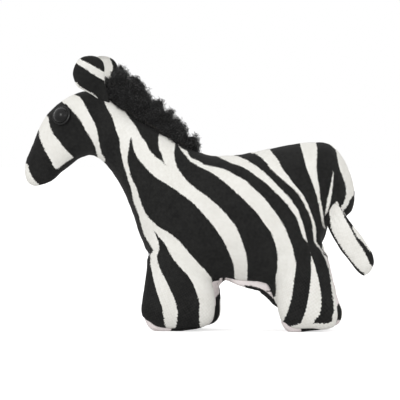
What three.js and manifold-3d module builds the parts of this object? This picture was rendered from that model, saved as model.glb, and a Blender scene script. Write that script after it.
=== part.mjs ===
// Stuffed toy zebra, sewn from printed cloth, with a fur mane, loose ears and a loose tail.
// Millimetres. X runs from nose to tail, Y across the toy, Z up from the floor it stands on.
import * as THREE from 'three';
import { mergeVertices } from 'three/addons/utils/BufferGeometryUtils.js';
import Module from 'manifold-3d';

const wasm = await Module();
wasm.setup();

// Whole toy
const bodyLength = 183; // nose to rump
const pollHeight = 131; // floor to the top of the head between the ears
const bodyWidth = 46; // across the belly
const sectionFullness = 0.85; // 1 is an ellipse, less is fuller

// Cloth and seams
const cloth = 0.6;
const seamGap = 0.3; // between neighbouring pieces
const footFlatDepth = 0.5; // how far the soft feet are pressed flat by the floor

// One overrun for every cut
const overrun = 5;

// Facets
const bodyRings = 25;
const bodySides = 20;
const legRings = 9;
const legSides = 14;
const roundSides = 20;
const ballSides = 12;
const domeRings = 7;

// The body's outline from nose to rump: [back X, back Z, underside X, underside Z, half width].
// X is a share of bodyLength, Z a share of pollHeight, the half width a share of half of bodyWidth.
const bodyOutlineShares = [
  [0.005, 0.668, 0.009, 0.624, 0.13],
  [0.011, 0.714, 0.036, 0.597, 0.26],
  [0.03, 0.777, 0.085, 0.618, 0.37],
  [0.058, 0.87, 0.118, 0.658, 0.48],
  [0.097, 0.937, 0.147, 0.689, 0.57],
  [0.155, 0.992, 0.173, 0.718, 0.63],
  [0.209, 1.004, 0.197, 0.729, 0.65],
  [0.264, 0.979, 0.221, 0.727, 0.65],
  [0.321, 0.922, 0.248, 0.702, 0.65],
  [0.379, 0.874, 0.282, 0.641, 0.67],
  [0.436, 0.826, 0.312, 0.567, 0.74],
  [0.494, 0.777, 0.338, 0.479, 0.85],
  [0.545, 0.744, 0.364, 0.378, 0.96],
  [0.594, 0.733, 0.406, 0.269, 1],
  [0.648, 0.737, 0.506, 0.223, 1],
  [0.706, 0.752, 0.615, 0.21, 1],
  [0.767, 0.769, 0.724, 0.181, 1],
  [0.827, 0.786, 0.827, 0.197, 0.98],
  [0.882, 0.792, 0.891, 0.303, 0.89],
  [0.93, 0.784, 0.924, 0.437, 0.7],
  [0.968, 0.731, 0.967, 0.464, 0.48],
  [0.995, 0.647, 0.995, 0.496, 0.26],
  [1.005, 0.588, 1.005, 0.542, 0.09],
];
const throatShare = 0.333; // along the outline, where the head stuffing ends
const chestShare = 0.583; // along the outline, where the neck stuffing ends

// Legs
const legThicknessShare = 0.452; // of bodyWidth
const legSetIn = 0.6; // the leg's outer face sits this much inside the body's side
// Rows down a leg: [height, front, rear, thickness].
// The height is a share of pollHeight, front and rear of bodyLength, the thickness of legThickness.
const frontLegShares = [
  [0.466, 0.403, 0.567, 0.82],
  [0.34, 0.391, 0.579, 0.94],
  [0.214, 0.379, 0.589, 0.98],
  [0.13, 0.371, 0.595, 1],
  [0.076, 0.368, 0.595, 0.96],
  [0.042, 0.379, 0.586, 0.8],
  [0.019, 0.389, 0.561, 0.6],
  [0.006, 0.402, 0.506, 0.38],
  [0, 0.415, 0.479, 0.19],
];
const hindLegShares = [
  [0.466, 0.77, 0.9, 0.82],
  [0.361, 0.773, 0.918, 0.92],
  [0.265, 0.774, 0.939, 0.98],
  [0.172, 0.777, 0.955, 1],
  [0.118, 0.777, 0.961, 1],
  [0.076, 0.782, 0.964, 0.96],
  [0.042, 0.789, 0.959, 0.8],
  [0.019, 0.798, 0.945, 0.6],
  [0.006, 0.806, 0.87, 0.38],
  [0, 0.815, 0.852, 0.19],
];
const legSpanShares = { front: [0.34, 0.605], hind: [0.755, 1.0] }; // of bodyLength, round each pair
const legSeamShares = { front: 0.205, hind: 0.165 }; // of pollHeight, top of the inner leg pieces

// Belly gusset: its edge seams run along the middle of the legs and meet in a point at each end
const gussetShoulderShares = { front: 0.252, hind: 0.328 }; // of pollHeight
const gussetTipShares = { front: 0.313, hind: 0.37 }; // of pollHeight

// Eyes
const eyeDiameter = 10;
const eyeRise = 3.6;
const eyeRim = 0.7; // height of the straight edge under the dome
const shankDiameter = 3;
const shankLength = 8;
const washerDiameter = 9.5;
const washerThickness = 1.2;
const washerHubDiameter = 5;
const washerHubHeight = 1.2;
const washerDepth = 1.9; // from the cloth's face to the washer
const eyePlaceShare = 0.2; // along the body outline
const eyeAngle = 62; // degrees round the head from its top

// Ears
const earHeight = 22.6;
const earWidth = 17.6;
const earCup = 3.4; // how far the leaf is bowed outward
const earCloth = 0.8;
const earSeatGap = 0.8; // lets the ear flap without rubbing on the head
const earCupShare = 0.45; // of the height, over which the bow comes in
const earPlaceShare = 0.284; // along the body outline
const earAngle = 31; // degrees round the head from its top
const earSplay = 16; // degrees outward
const leftEarLean = -8; // degrees, minus is forward
const rightEarLean = 6;
const earSteps = 7;
// An ear's outline from root to tip: [height, front edge, rear edge], shares of earHeight and
// earWidth. The lower front corner is cut away, so that the ear is sewn on by its rear half.
const earOutlineShares = [
  [-0.22, 0.1, 0.47],
  [-0.08, 0.1, 0.46],
  [0.075, -0.09, 0.45],
  [0.2, -0.31, 0.43],
  [0.3, -0.44, 0.43],
  [0.48, -0.5, 0.46],
  [0.64, -0.5, 0.5],
  [0.8, -0.41, 0.48],
  [0.92, -0.28, 0.36],
  [0.98, -0.16, 0.22],
  [1, -0.07, 0.11],
];

// Mane
const maneHeight = 18.5;
const maneWidth = 16;
const maneRoot = 6; // run of the mane below the neck's surface, before the neck is cut away
const maneBacking = 1;
const maneSpanShares = [0.292, 0.526]; // along the body outline
// Along the mane: [height, width], shares of maneHeight and maneWidth.
const maneShares = [
  [0.88, 0.35],
  [0.98, 0.75],
  [0.9, 0.95],
  [0.78, 1.0],
  [0.67, 1.0],
  [0.54, 1.0],
  [0.4, 0.9],
  [0.24, 0.5],
];
const maneRings = 14;
const maneSides = 16;

// Tail
const tailLength = 37;
const tailWidth = 13.4;
const tailThickness = 8.5;
const tailDrop = 31; // degrees between the hanging tail and the vertical
const tailPlaceShare = 0.893; // along the body outline
const tailAngle = 132; // degrees round the rump from its top
const tailStandOff = 2.4; // from the rump's surface to the middle of the tail's top end
const tailNeckDiameter = 2.2; // of the rolled edge, inside the tail's flat top end
const tailNeckShare = 0.56; // of tailWidth, along the seam
const tailTab = 1.2; // thickness of the cloth tab in the seam
// Down the tail: [place, width, thickness], shares of tailLength, tailWidth and tailThickness.
const tailShares = [
  [0, 0.8, 0.34],
  [0.1, 0.9, 0.52],
  [0.3, 0.98, 0.84],
  [0.55, 1.0, 1.0],
  [0.82, 1.0, 1.0],
  [0.95, 0.97, 0.9],
  [1.0, 0.84, 0.62],
];
const tailRings = 12;
const tailSides = 18;

const legThickness = legThicknessShare * bodyWidth;
const legCentre = bodyWidth / 2 - legSetIn - legThickness / 2;
const stuffingInset = cloth + seamGap;
const acrossAxis = new THREE.Vector3(0, 1, 0);

// Materials

const blackCloth = new THREE.MeshStandardMaterial({ color: 0x262628, roughness: 0.95, metalness: 0 });
const whiteCloth = new THREE.MeshStandardMaterial({ color: 0xefeee9, roughness: 0.95, metalness: 0 });
const pinkishCloth = new THREE.MeshStandardMaterial({ color: 0xece2e0, roughness: 0.95, metalness: 0 });
const stuffingFibre = new THREE.MeshStandardMaterial({ color: 0xf4f3ef, roughness: 1, metalness: 0 });
const blackFur = new THREE.MeshStandardMaterial({ color: 0x151515, roughness: 1, metalness: 0 });
const backingCloth = new THREE.MeshStandardMaterial({ color: 0x2b2a29, roughness: 1, metalness: 0 });
const eyePlastic = new THREE.MeshStandardMaterial({ color: 0x111112, roughness: 0.12, metalness: 0 });
const washerPlastic = new THREE.MeshStandardMaterial({ color: 0xdcdcd6, roughness: 0.5, metalness: 0 });

// Solids and meshes

function solidFrom(geometry) {
  const bare = geometry.clone();
  bare.deleteAttribute('normal');
  bare.deleteAttribute('uv');
  const merged = mergeVertices(bare);
  const vertProperties = new Float32Array(merged.attributes.position.array);
  const triVerts = new Uint32Array(merged.index.array);
  return new wasm.Manifold(new wasm.Mesh({ numProp: 3, vertProperties, triVerts }));
}

function geometryFrom(solid) {
  const { vertProperties, triVerts } = solid.getMesh();
  const geometry = new THREE.BufferGeometry();
  geometry.setAttribute('position', new THREE.BufferAttribute(new Float32Array(vertProperties), 3));
  geometry.setIndex(new THREE.BufferAttribute(new Uint32Array(triVerts), 1));
  geometry.computeVertexNormals();
  return geometry;
}

// Adds a solid, given in the toy's own frame, to a group that may be placed and turned.
function addPiece(parent, name, solid, material) {
  const geometry = geometryFrom(solid);
  parent.updateWorldMatrix(true, false);
  geometry.applyMatrix4(parent.matrixWorld.clone().invert());
  const mesh = new THREE.Mesh(geometry, material.clone());
  mesh.name = name;
  parent.add(mesh);
  return mesh;
}

function placedSolid(geometry, matrix) {
  return solidFrom(geometry.clone().applyMatrix4(matrix));
}

function boxSolid(low, high) {
  const size = new THREE.Vector3().subVectors(high, low);
  const middle = new THREE.Vector3().addVectors(low, high).multiplyScalar(1 / 2);
  const geometry = new THREE.BoxGeometry(size.x, size.y, size.z);
  return solidFrom(geometry.translate(middle.x, middle.y, middle.z));
}

// Joins rings of equally many points into a closed skin with a fan at each end.
function loftGeometry(rings) {
  const sides = rings[0].length;
  const positions = rings.flat().flatMap((point) => [point.x, point.y, point.z]);
  const index = [];
  for (let ring = 0; ring + 1 < rings.length; ring += 1) {
    for (let side = 0; side < sides; side += 1) {
      const next = (side + 1) % sides;
      const here = ring * sides;
      const there = here + sides;
      index.push(here + side, here + next, there + next, here + side, there + next, there + side);
    }
  }
  for (const ring of [0, rings.length - 1]) {
    const centre = new THREE.Vector3();
    rings[ring].forEach((point) => centre.add(point));
    centre.divideScalar(sides);
    const hub = positions.length / 3;
    positions.push(centre.x, centre.y, centre.z);
    for (let side = 0; side < sides; side += 1) {
      const here = ring * sides + side;
      const next = ring * sides + ((side + 1) % sides);
      index.push(...(ring === 0 ? [hub, next, here] : [hub, here, next]));
    }
  }
  const geometry = new THREE.BufferGeometry();
  geometry.setAttribute('position', new THREE.Float32BufferAttribute(positions, 3));
  geometry.setIndex(index);
  return geometry;
}

function loftSolid(rings) {
  const solid = solidFrom(loftGeometry(rings));
  return solid.volume() > 0 ? solid : solidFrom(loftGeometry([...rings].reverse()));
}

function fullPower(value) {
  return Math.sign(value) * Math.abs(value) ** sectionFullness;
}

function sectionRing(centre, halfUp, halfAcross, sides) {
  return Array.from({ length: sides }, (_, side) => {
    const angle = (2 * Math.PI * side) / sides;
    return centre
      .clone()
      .addScaledVector(halfUp, fullPower(Math.cos(angle)))
      .addScaledVector(halfAcross, fullPower(Math.sin(angle)));
  });
}

function smoothRow(rows, share) {
  const columns = rows[0].map((_, column) => {
    const points = rows.map((row, place) => new THREE.Vector3(place / rows.length, row[column], 0));
    return new THREE.CatmullRomCurve3(points, false, 'catmullrom', 1 / 2).getPoint(share).y;
  });
  return columns;
}

function unitShares(count) {
  return Array.from({ length: count }, (_, step) => step / (count - 1));
}

// Body

function bodyStation(share, inset) {
  const [backX, backZ, underX, underZ, half] = smoothRow(bodyOutlineShares, share);
  const back = new THREE.Vector3(backX * bodyLength, 0, backZ * pollHeight);
  const under = new THREE.Vector3(underX * bodyLength, 0, underZ * pollHeight);
  const centre = new THREE.Vector3().addVectors(back, under).multiplyScalar(1 / 2);
  const halfUp = new THREE.Vector3().subVectors(back, under).multiplyScalar(1 / 2);
  halfUp.setLength(halfUp.length() - inset);
  return { centre, halfUp, halfAcross: (half * bodyWidth) / 2 - inset };
}

function bodyRing(place, inset) {
  const station = bodyStation(place / (bodyRings - 1), inset);
  const across = acrossAxis.clone().multiplyScalar(station.halfAcross);
  return sectionRing(station.centre, station.halfUp, across, bodySides);
}

function ringCentre(ring) {
  const centre = new THREE.Vector3();
  ring.forEach((point) => centre.add(point));
  return centre.divideScalar(ring.length);
}

// Draws an end ring in along the body: at the nose and rump by the inset, elsewhere by half a gap.
function drawnEnd(end, neighbour, inset, isTip) {
  if (isTip) {
    const inward = new THREE.Vector3().subVectors(ringCentre(neighbour), ringCentre(end));
    inward.setLength(inset);
    return end.map((point) => point.clone().add(inward));
  }
  const nearest = Math.min(...end.map((point, side) => point.distanceTo(neighbour[side])));
  return end.map((point, side) => point.clone().lerp(neighbour[side], seamGap / 2 / nearest));
}

// The body between two of its rings, drawn in by the inset on every side.
function bodySolid(inset, from = 0, to = bodyRings - 1) {
  const rings = [];
  for (let place = from; place <= to; place += 1) {
    rings.push(bodyRing(place, inset));
  }
  const last = rings.length - 1;
  rings[0] = drawnEnd(rings[0], rings[1], inset, from === 0);
  rings[last] = drawnEnd(rings[last], rings[last - 1], inset, to === bodyRings - 1);
  return loftSolid(rings);
}

// A point of the body's surface with its outward normal; side is -1 on the left and 1 on the right.
function bodySurface(share, degrees, side) {
  const radians = THREE.MathUtils.degToRad(degrees);
  const at = (place, angle) => {
    const station = bodyStation(place, 0);
    return station.centre
      .clone()
      .addScaledVector(station.halfUp, fullPower(Math.cos(angle)))
      .addScaledVector(acrossAxis, side * station.halfAcross * fullPower(Math.sin(angle)));
  };
  const nudge = 1e-3;
  const point = at(share, radians);
  const along = at(share + nudge, radians).sub(point).normalize();
  const round = at(share, radians + nudge).sub(point).normalize();
  const normal = new THREE.Vector3().crossVectors(along, round).normalize();
  const outward = new THREE.Vector3().subVectors(point, bodyStation(share, 0).centre);
  if (normal.dot(outward) < 0) {
    normal.negate();
  }
  return { point, normal, along };
}

// Legs

function legSolid(rows, side, inset) {
  const last = unitShares(legRings).length - 1;
  const rings = unitShares(legRings).map((step, place) => {
    const [height, front, rear, thick] = smoothRow(rows, step);
    const isEnd = place === last;
    const z = height * pollHeight - footFlatDepth + (isEnd ? inset : 0);
    const centre = new THREE.Vector3(((front + rear) * bodyLength) / 2, side * legCentre, z);
    const lengthways = new THREE.Vector3(((rear - front) * bodyLength) / 2 - inset, 0, 0);
    const across = acrossAxis.clone().multiplyScalar((thick * legThickness) / 2 - inset);
    return sectionRing(centre, lengthways, across, legSides);
  });
  return loftSolid(rings);
}

const legs = [
  { name: 'front_left', rows: frontLegShares, pair: 'front', side: -1 },
  { name: 'front_right', rows: frontLegShares, pair: 'front', side: 1 },
  { name: 'hind_left', rows: hindLegShares, pair: 'hind', side: -1 },
  { name: 'hind_right', rows: hindLegShares, pair: 'hind', side: 1 },
];

// Everything of the toy above a level, as one block to keep.
function blockAbove(level) {
  return boxSolid(
    new THREE.Vector3(-overrun, -bodyWidth, level),
    new THREE.Vector3(bodyLength + overrun, bodyWidth, 2 * pollHeight),
  );
}

function bodyAndLegs(inset) {
  const pieces = legs.map((leg) => legSolid(leg.rows, leg.side, inset));
  const whole = pieces.reduce((sum, leg) => sum.add(leg), bodySolid(inset));
  return whole.intersect(blockAbove(inset));
}

// Cover

// The underbody's share of the cover: a long wedge with a roof that rises to the gusset's points.
function underbodyZone(drawIn) {
  const half = legCentre - drawIn;
  const section = (x, pair) => [
    new THREE.Vector3(x, -half, -overrun),
    new THREE.Vector3(x, half, -overrun),
    new THREE.Vector3(x, half, gussetShoulderShares[pair] * pollHeight - drawIn),
    new THREE.Vector3(x, 0, gussetTipShares[pair] * pollHeight - 2 * drawIn),
    new THREE.Vector3(x, -half, gussetShoulderShares[pair] * pollHeight - drawIn),
  ];
  const frontX = legSpanShares.front[0] * bodyLength;
  const hindX = legSpanShares.hind[1] * bodyLength;
  return loftSolid([section(frontX, 'front'), section(hindX, 'hind')]);
}

function innerLegBlock(pair, raise) {
  const [front, rear] = legSpanShares[pair];
  return boxSolid(
    new THREE.Vector3(front * bodyLength - overrun, -bodyWidth, -overrun),
    new THREE.Vector3(rear * bodyLength, bodyWidth, legSeamShares[pair] * pollHeight + raise),
  );
}

function sideBlock(side, gap) {
  const near = (side * gap) / 2;
  const far = side * (bodyWidth + overrun);
  return boxSolid(
    new THREE.Vector3(-overrun, Math.min(near, far), -overrun),
    new THREE.Vector3(bodyLength + overrun, Math.max(near, far), 2 * pollHeight),
  );
}

// Eyes

function eyeMatrix(side) {
  const { point, normal } = bodySurface(eyePlaceShare, eyeAngle, side);
  const turn = new THREE.Quaternion().setFromUnitVectors(new THREE.Vector3(0, 0, 1), normal);
  return new THREE.Matrix4().compose(point, turn, new THREE.Vector3(1, 1, 1));
}

// The dome's outline from its foot to its crown, on a circle's arc that is squashed to the rise.
function domeProfile() {
  const arc = unitShares(domeRings).map((step) => {
    const angle = (Math.PI / 2) * step;
    const height = eyeRim + (eyeRise - eyeRim) * Math.sin(angle);
    return new THREE.Vector2((Math.cos(angle) * eyeDiameter) / 2, height);
  });
  arc[arc.length - 1].x = 0;
  return [new THREE.Vector2(0, -overrun / 2), new THREE.Vector2(eyeDiameter / 2, -overrun / 2), ...arc];
}

function pinGeometry(diameter, low, high) {
  const geometry = new THREE.CylinderGeometry(diameter / 2, diameter / 2, high - low, roundSides);
  return geometry.rotateX(Math.PI / 2).translate(0, 0, (low + high) / 2);
}

function eyeSolid(matrix, grownBody) {
  const dome = placedSolid(new THREE.LatheGeometry(domeProfile(), roundSides).rotateX(Math.PI / 2), matrix);
  const shank = placedSolid(pinGeometry(shankDiameter, eyeRim - shankLength, eyeRim), matrix);
  return dome.subtract(grownBody).add(shank);
}

function shankHole(matrix) {
  return placedSolid(pinGeometry(shankDiameter + 2 * seamGap, -shankLength, overrun), matrix);
}

function washerSolid(matrix) {
  const disc = placedSolid(pinGeometry(washerDiameter, -washerDepth - washerThickness, -washerDepth), matrix);
  const hubLow = -washerDepth - washerThickness - washerHubHeight;
  const hub = placedSolid(pinGeometry(washerHubDiameter, hubLow, -washerDepth), matrix);
  return disc.add(hub).subtract(shankHole(matrix));
}

function washerPocket(matrix) {
  const low = -shankLength - seamGap;
  return placedSolid(pinGeometry(washerDiameter + 2 * seamGap, low, overrun), matrix);
}

// Ears

// One leaf of an ear in its own frame: X along the base, Y outward, Z up the ear.
function earLeafRings(inner, outer, drawIn) {
  const tipShare = 1 - drawIn / earHeight;
  return earOutlineShares.map(([level, front, rear]) => {
    const height = level > 0 ? level * tipShare : level;
    const middle = ((front + rear) / 2) * earWidth;
    const half = ((rear - front) / 2) * earWidth - drawIn;
    const cup = earCup * THREE.MathUtils.smoothstep(height, 0, earCupShare);
    const arc = (offset) =>
      unitShares(earSteps).map((step) => {
        const across = 2 * step - 1;
        const bow = cup * (1 - across ** 2) * (half / (earWidth / 2));
        return new THREE.Vector3(middle + across * half, bow + offset, height * earHeight);
      });
    return [...arc(outer), ...arc(inner).reverse()];
  });
}

function earMatrix(side, lean) {
  const { point } = bodySurface(earPlaceShare, earAngle, side);
  const leaning = new THREE.Matrix4().makeRotationY(THREE.MathUtils.degToRad(lean));
  const splaying = new THREE.Matrix4().makeRotationX(THREE.MathUtils.degToRad(-side * earSplay));
  const placing = new THREE.Matrix4().makeTranslation(point);
  return placing.multiply(leaning).multiply(splaying);
}

function earLeaf(matrix, side, inner, outer, drawIn) {
  const rings = earLeafRings(inner, outer, drawIn);
  rings.flat().forEach((point) => {
    point.y *= side;
    point.applyMatrix4(matrix);
  });
  return loftSolid(rings);
}

// Mane

function maneSolid(drawIn) {
  const [from, to] = maneSpanShares;
  const rings = unitShares(maneRings).map((step) => {
    const [high, wide] = smoothRow(maneShares, step);
    const station = bodyStation(from + (to - from) * step, 0);
    const up = station.halfUp.clone().normalize();
    const crest = station.centre.clone().add(station.halfUp);
    const top = high * maneHeight - drawIn;
    const centre = crest.clone().addScaledVector(up, (top - maneRoot) / 2);
    const halfUp = up.multiplyScalar((top + maneRoot) / 2);
    const across = acrossAxis.clone().multiplyScalar((wide * maneWidth) / 2 - drawIn);
    return sectionRing(centre, halfUp, across, maneSides);
  });
  return loftSolid(rings);
}

// Tail

const tailSide = -1; // sewn on the left of the seam
const tailSeat = bodySurface(tailPlaceShare, tailAngle, tailSide);
const tailTop = tailSeat.point.clone().addScaledVector(tailSeat.normal, tailStandOff);
const tailLean = THREE.MathUtils.degToRad(tailDrop);
const tailDown = new THREE.Vector3(Math.sin(tailLean), 0, -Math.cos(tailLean));
const tailAside = new THREE.Vector3(Math.cos(tailLean), 0, Math.sin(tailLean));

function tailSolid(inset, from, to) {
  const rings = unitShares(tailRings).map((step) => {
    const [place, wide, thick] = smoothRow(tailShares, step);
    const span = from + (tailLength - from - to) * place;
    const centre = tailTop.clone().addScaledVector(tailDown, span);
    centre.y += (tailSide * (thick - tailShares[0][2]) * tailThickness) / 2;
    const aside = tailAside.clone().multiplyScalar((wide * tailWidth) / 2 - inset);
    const across = acrossAxis.clone().multiplyScalar((thick * tailThickness) / 2 - inset);
    return sectionRing(centre, aside, across, tailSides);
  });
  return loftSolid(rings);
}

// The cloth neck that joins the tail to the rump: a rolled edge along the seam, on a flat tab.
function neckSolid(grow) {
  const width = tailNeckShare * tailWidth + 2 * grow;
  const roll = new THREE.CylinderGeometry(
    tailNeckDiameter / 2 + grow,
    tailNeckDiameter / 2 + grow,
    width,
    ballSides,
  );
  const alongSeam = new THREE.Quaternion().setFromUnitVectors(acrossAxis, tailAside);
  const rollMatrix = new THREE.Matrix4().compose(tailTop, alongSeam, new THREE.Vector3(1, 1, 1));
  const length = tailStandOff + overrun;
  const tab = new THREE.BoxGeometry(width, tailTab + 2 * grow, length).translate(0, 0, -length / 2);
  const seam = tailAside.clone().addScaledVector(tailSeat.normal, -tailAside.dot(tailSeat.normal)).normalize();
  const through = new THREE.Vector3().crossVectors(tailSeat.normal, seam);
  const tabMatrix = new THREE.Matrix4().makeBasis(seam, through, tailSeat.normal).setPosition(tailTop);
  return placedSolid(roll, rollMatrix).add(placedSolid(tab, tabMatrix));
}

// Assembly

const zebra = new THREE.Group();
const grownBody = bodySolid(-seamGap);
const outside = bodyAndLegs(0);
const hollow = bodyAndLegs(cloth);
const skin = outside.subtract(hollow);
const sides = [
  { name: 'left', side: -1, lean: leftEarLean },
  { name: 'right', side: 1, lean: rightEarLean },
];

const underbody = underbodyZone(0);
for (const { name, side } of sides) {
  const panel = skin.subtract(underbody).intersect(sideBlock(side, seamGap));
  addPiece(zebra, `${name}_side_panel`, panel.subtract(shankHole(eyeMatrix(side))), blackCloth);
}

const underbodySkin = skin.intersect(underbodyZone(seamGap));
const gusset = underbodySkin
  .subtract(innerLegBlock('front', seamGap))
  .subtract(innerLegBlock('hind', seamGap));
addPiece(zebra, 'belly_gusset', gusset, pinkishCloth);
for (const leg of legs) {
  const inner = underbodySkin.intersect(innerLegBlock(leg.pair, 0)).intersect(sideBlock(leg.side, 0));
  addPiece(zebra, `${leg.name}_inner_leg`, inner, pinkishCloth);
}

const throatRing = Math.round(throatShare * (bodyRings - 1));
const chestRing = Math.round(chestShare * (bodyRings - 1));
const headFilling = sides.reduce(
  (wad, { side }) => wad.subtract(washerPocket(eyeMatrix(side))),
  bodySolid(stuffingInset, 0, throatRing),
);
addPiece(zebra, 'head_filling', headFilling, stuffingFibre);
addPiece(zebra, 'neck_filling', bodySolid(stuffingInset, throatRing, chestRing), stuffingFibre);
addPiece(zebra, 'body_filling', bodySolid(stuffingInset, chestRing), stuffingFibre);
const roomForTorso = bodySolid(cloth);
for (const leg of legs) {
  const wad = legSolid(leg.rows, leg.side, stuffingInset).intersect(blockAbove(stuffingInset));
  addPiece(zebra, `${leg.name}_leg_filling`, wad.subtract(roomForTorso), stuffingFibre);
}

for (const { name, side } of sides) {
  const matrix = eyeMatrix(side);
  const eye = new THREE.Group();
  eye.applyMatrix4(matrix);
  zebra.add(eye);
  addPiece(eye, `${name}_eye`, eyeSolid(matrix, grownBody), eyePlastic);
  addPiece(eye, `${name}_eye_washer`, washerSolid(matrix), washerPlastic);
}

const earSeat = bodySolid(-earSeatGap);
const earRooms = [];
for (const { name, side, lean } of sides) {
  const matrix = earMatrix(side, lean);
  const ear = new THREE.Group();
  ear.applyMatrix4(matrix);
  zebra.add(ear);
  const halfGap = seamGap / 2;
  const outer = earLeaf(matrix, side, halfGap, halfGap + earCloth, 0);
  const lining = earLeaf(matrix, side, -halfGap - earCloth, -halfGap, cloth);
  addPiece(ear, `${name}_ear_outer`, outer.subtract(earSeat), blackCloth);
  addPiece(ear, `${name}_ear_lining`, lining.subtract(earSeat), whiteCloth);
  earRooms.push(earLeaf(matrix, side, -2 * seamGap - earCloth, 2 * seamGap + earCloth, -seamGap));
}

const backingTop = bodySolid(-seamGap - maneBacking);
const pileFloor = bodySolid(-2 * seamGap - maneBacking);
const clearOfEars = (solid) => earRooms.reduce((left, room) => left.subtract(room), solid);
const backing = maneSolid(maneBacking).intersect(backingTop).subtract(grownBody);
addPiece(zebra, 'mane_backing', clearOfEars(backing), backingCloth);
addPiece(zebra, 'mane_pile', clearOfEars(maneSolid(0).subtract(pileFloor)), blackFur);

const tail = new THREE.Group();
tail.position.copy(tailTop);
zebra.add(tail);
const tailHollow = tailSolid(cloth, -overrun, cloth);
const tailStuffing = tailSolid(stuffingInset, tailNeckDiameter / 2 + seamGap, stuffingInset);
const rumpRoom = legs.reduce((room, leg) => room.add(legSolid(leg.rows, leg.side, -seamGap)), grownBody);
const tailRoom = neckSolid(seamGap).add(rumpRoom);
addPiece(tail, 'tail_root', neckSolid(0).subtract(rumpRoom), blackCloth);
addPiece(tail, 'tail_cover', tailSolid(0, 0, 0).subtract(tailHollow).subtract(tailRoom), whiteCloth);
addPiece(tail, 'tail_filling', tailStuffing.subtract(tailRoom), stuffingFibre);

// The toy stands on the floor with its outer box centred on the origin.
const box = new THREE.Box3().setFromObject(zebra, true);
zebra.position.set(-(box.min.x + box.max.x) / 2, -(box.min.y + box.max.y) / 2, -box.min.z);

export default zebra;
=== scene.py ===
import math
from contextlib import contextmanager
from functools import partial

import bmesh
import bpy
import numpy as np
from mathutils import Matrix, Vector, noise
from mathutils.bvhtree import BVHTree
from mathutils.kdtree import KDTree


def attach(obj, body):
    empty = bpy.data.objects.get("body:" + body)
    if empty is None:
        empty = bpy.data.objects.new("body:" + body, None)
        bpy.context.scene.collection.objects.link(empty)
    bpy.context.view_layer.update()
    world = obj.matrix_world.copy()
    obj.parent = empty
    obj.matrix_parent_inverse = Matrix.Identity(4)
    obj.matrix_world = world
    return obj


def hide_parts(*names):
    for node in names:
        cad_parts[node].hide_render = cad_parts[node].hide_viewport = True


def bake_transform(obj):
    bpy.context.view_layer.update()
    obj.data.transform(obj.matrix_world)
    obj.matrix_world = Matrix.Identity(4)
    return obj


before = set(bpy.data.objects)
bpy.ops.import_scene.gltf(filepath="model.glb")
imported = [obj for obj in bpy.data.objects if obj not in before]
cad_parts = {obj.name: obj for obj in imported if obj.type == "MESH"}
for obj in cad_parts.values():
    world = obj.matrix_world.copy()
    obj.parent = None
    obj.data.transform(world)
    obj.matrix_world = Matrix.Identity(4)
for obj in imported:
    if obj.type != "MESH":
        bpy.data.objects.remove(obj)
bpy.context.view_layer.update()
scene = bpy.context.scene
scene.view_settings.view_transform = "Standard"
mm = 0.001  # every table below is in millimetres, Blender is in metres
print("frame loaded")


# Nodes

def addNode(tree, kind, inputs=None, **settings):  # a node given as an input stands for its first output
    node = tree.nodes.new(kind)
    for name, value in settings.items():
        setattr(node, name, value)
    for key, value in (inputs or {}).items():
        if isinstance(value, bpy.types.Node):
            value = value.outputs[0]
        if isinstance(value, bpy.types.NodeSocket):
            tree.links.new(value, node.inputs[key])
        else:
            node.inputs[key].default_value = value
    return node


def nodeMath(tree, operation, *values):
    return addNode(tree, "ShaderNodeMath", dict(enumerate(values)), operation=operation).outputs[0]


def vectorMath(tree, operation, *values, **more):
    inputs = {**dict(enumerate(values)), **more}
    return addNode(tree, "ShaderNodeVectorMath", inputs, operation=operation).outputs[0]


def newMaterial(name):
    material = bpy.data.materials.new(name)
    material.use_nodes = True
    material.node_tree.nodes.clear()
    return material, material.node_tree


# Camera, floor and light

view = {
    "azimuth": 7,  # degrees, towards the tail
    "elevation": 1.5,
    "distance": 2600,
    "width": 220,
    "across": -1.5,  # what the middle of the picture looks at
    "up": 71.5,
    "clipEnd": 30,  # metres
}
studio = {
    "roomStrength": 0.86,
    "lamps": {  # energy, size, place
        "keyLamp": (8.0, 620, (-700, -1700, 900)),
        "fillLamp": (3.0, 1200, (1200, -1500, 250)),
    },
    "lampAim": (0, 0, 60),
    "floorSize": 9000,
    "floorDrop": 0.05,  # keeps the floor and the flat soles apart
    "paperGrey": 0.8,
    "paperGlow": 0.6,
}
white = (1, 1, 1, 1)


def viewAxes():  # right across the picture, from the toy to the camera, and what the camera looks at
    turn, rise = math.radians(view["azimuth"]), math.radians(view["elevation"])
    right = np.array([math.cos(turn), math.sin(turn), 0])
    away = np.array([math.sin(turn) * math.cos(rise), -math.cos(turn) * math.cos(rise), math.sin(rise)])
    return right, away, right * view["across"] + np.array([0, 0, view["up"]])


def faceAlong(obj, place, away):
    obj.location = Vector(place) * mm
    obj.rotation_euler = Vector(away).to_track_quat("Z", "Y").to_euler()
    scene.collection.objects.link(obj)


def placeCamera():
    _, away, aim = viewAxes()
    data = bpy.data.cameras.new("photoCamera")
    data.lens = data.sensor_width * view["distance"] / view["width"]
    data.clip_end = view["clipEnd"]
    scene.camera = bpy.data.objects.new("photoCamera", data)
    faceAlong(scene.camera, aim + away * view["distance"], away)


def addLamp(name, energy, size, place):
    data = bpy.data.lights.new(name, "AREA")
    data.energy = energy
    data.size = size * mm
    faceAlong(bpy.data.objects.new(name, data), place, np.subtract(place, studio["lampAim"]))


def backdropRays(tree):  # 1 for the rays that show the white backdrop, and the same for gloss
    path = addNode(tree, "ShaderNodeLightPath").outputs
    return nodeMath(tree, "MAXIMUM", path["Is Camera Ray"], path["Is Transmission Ray"]), path["Is Glossy Ray"]


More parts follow.
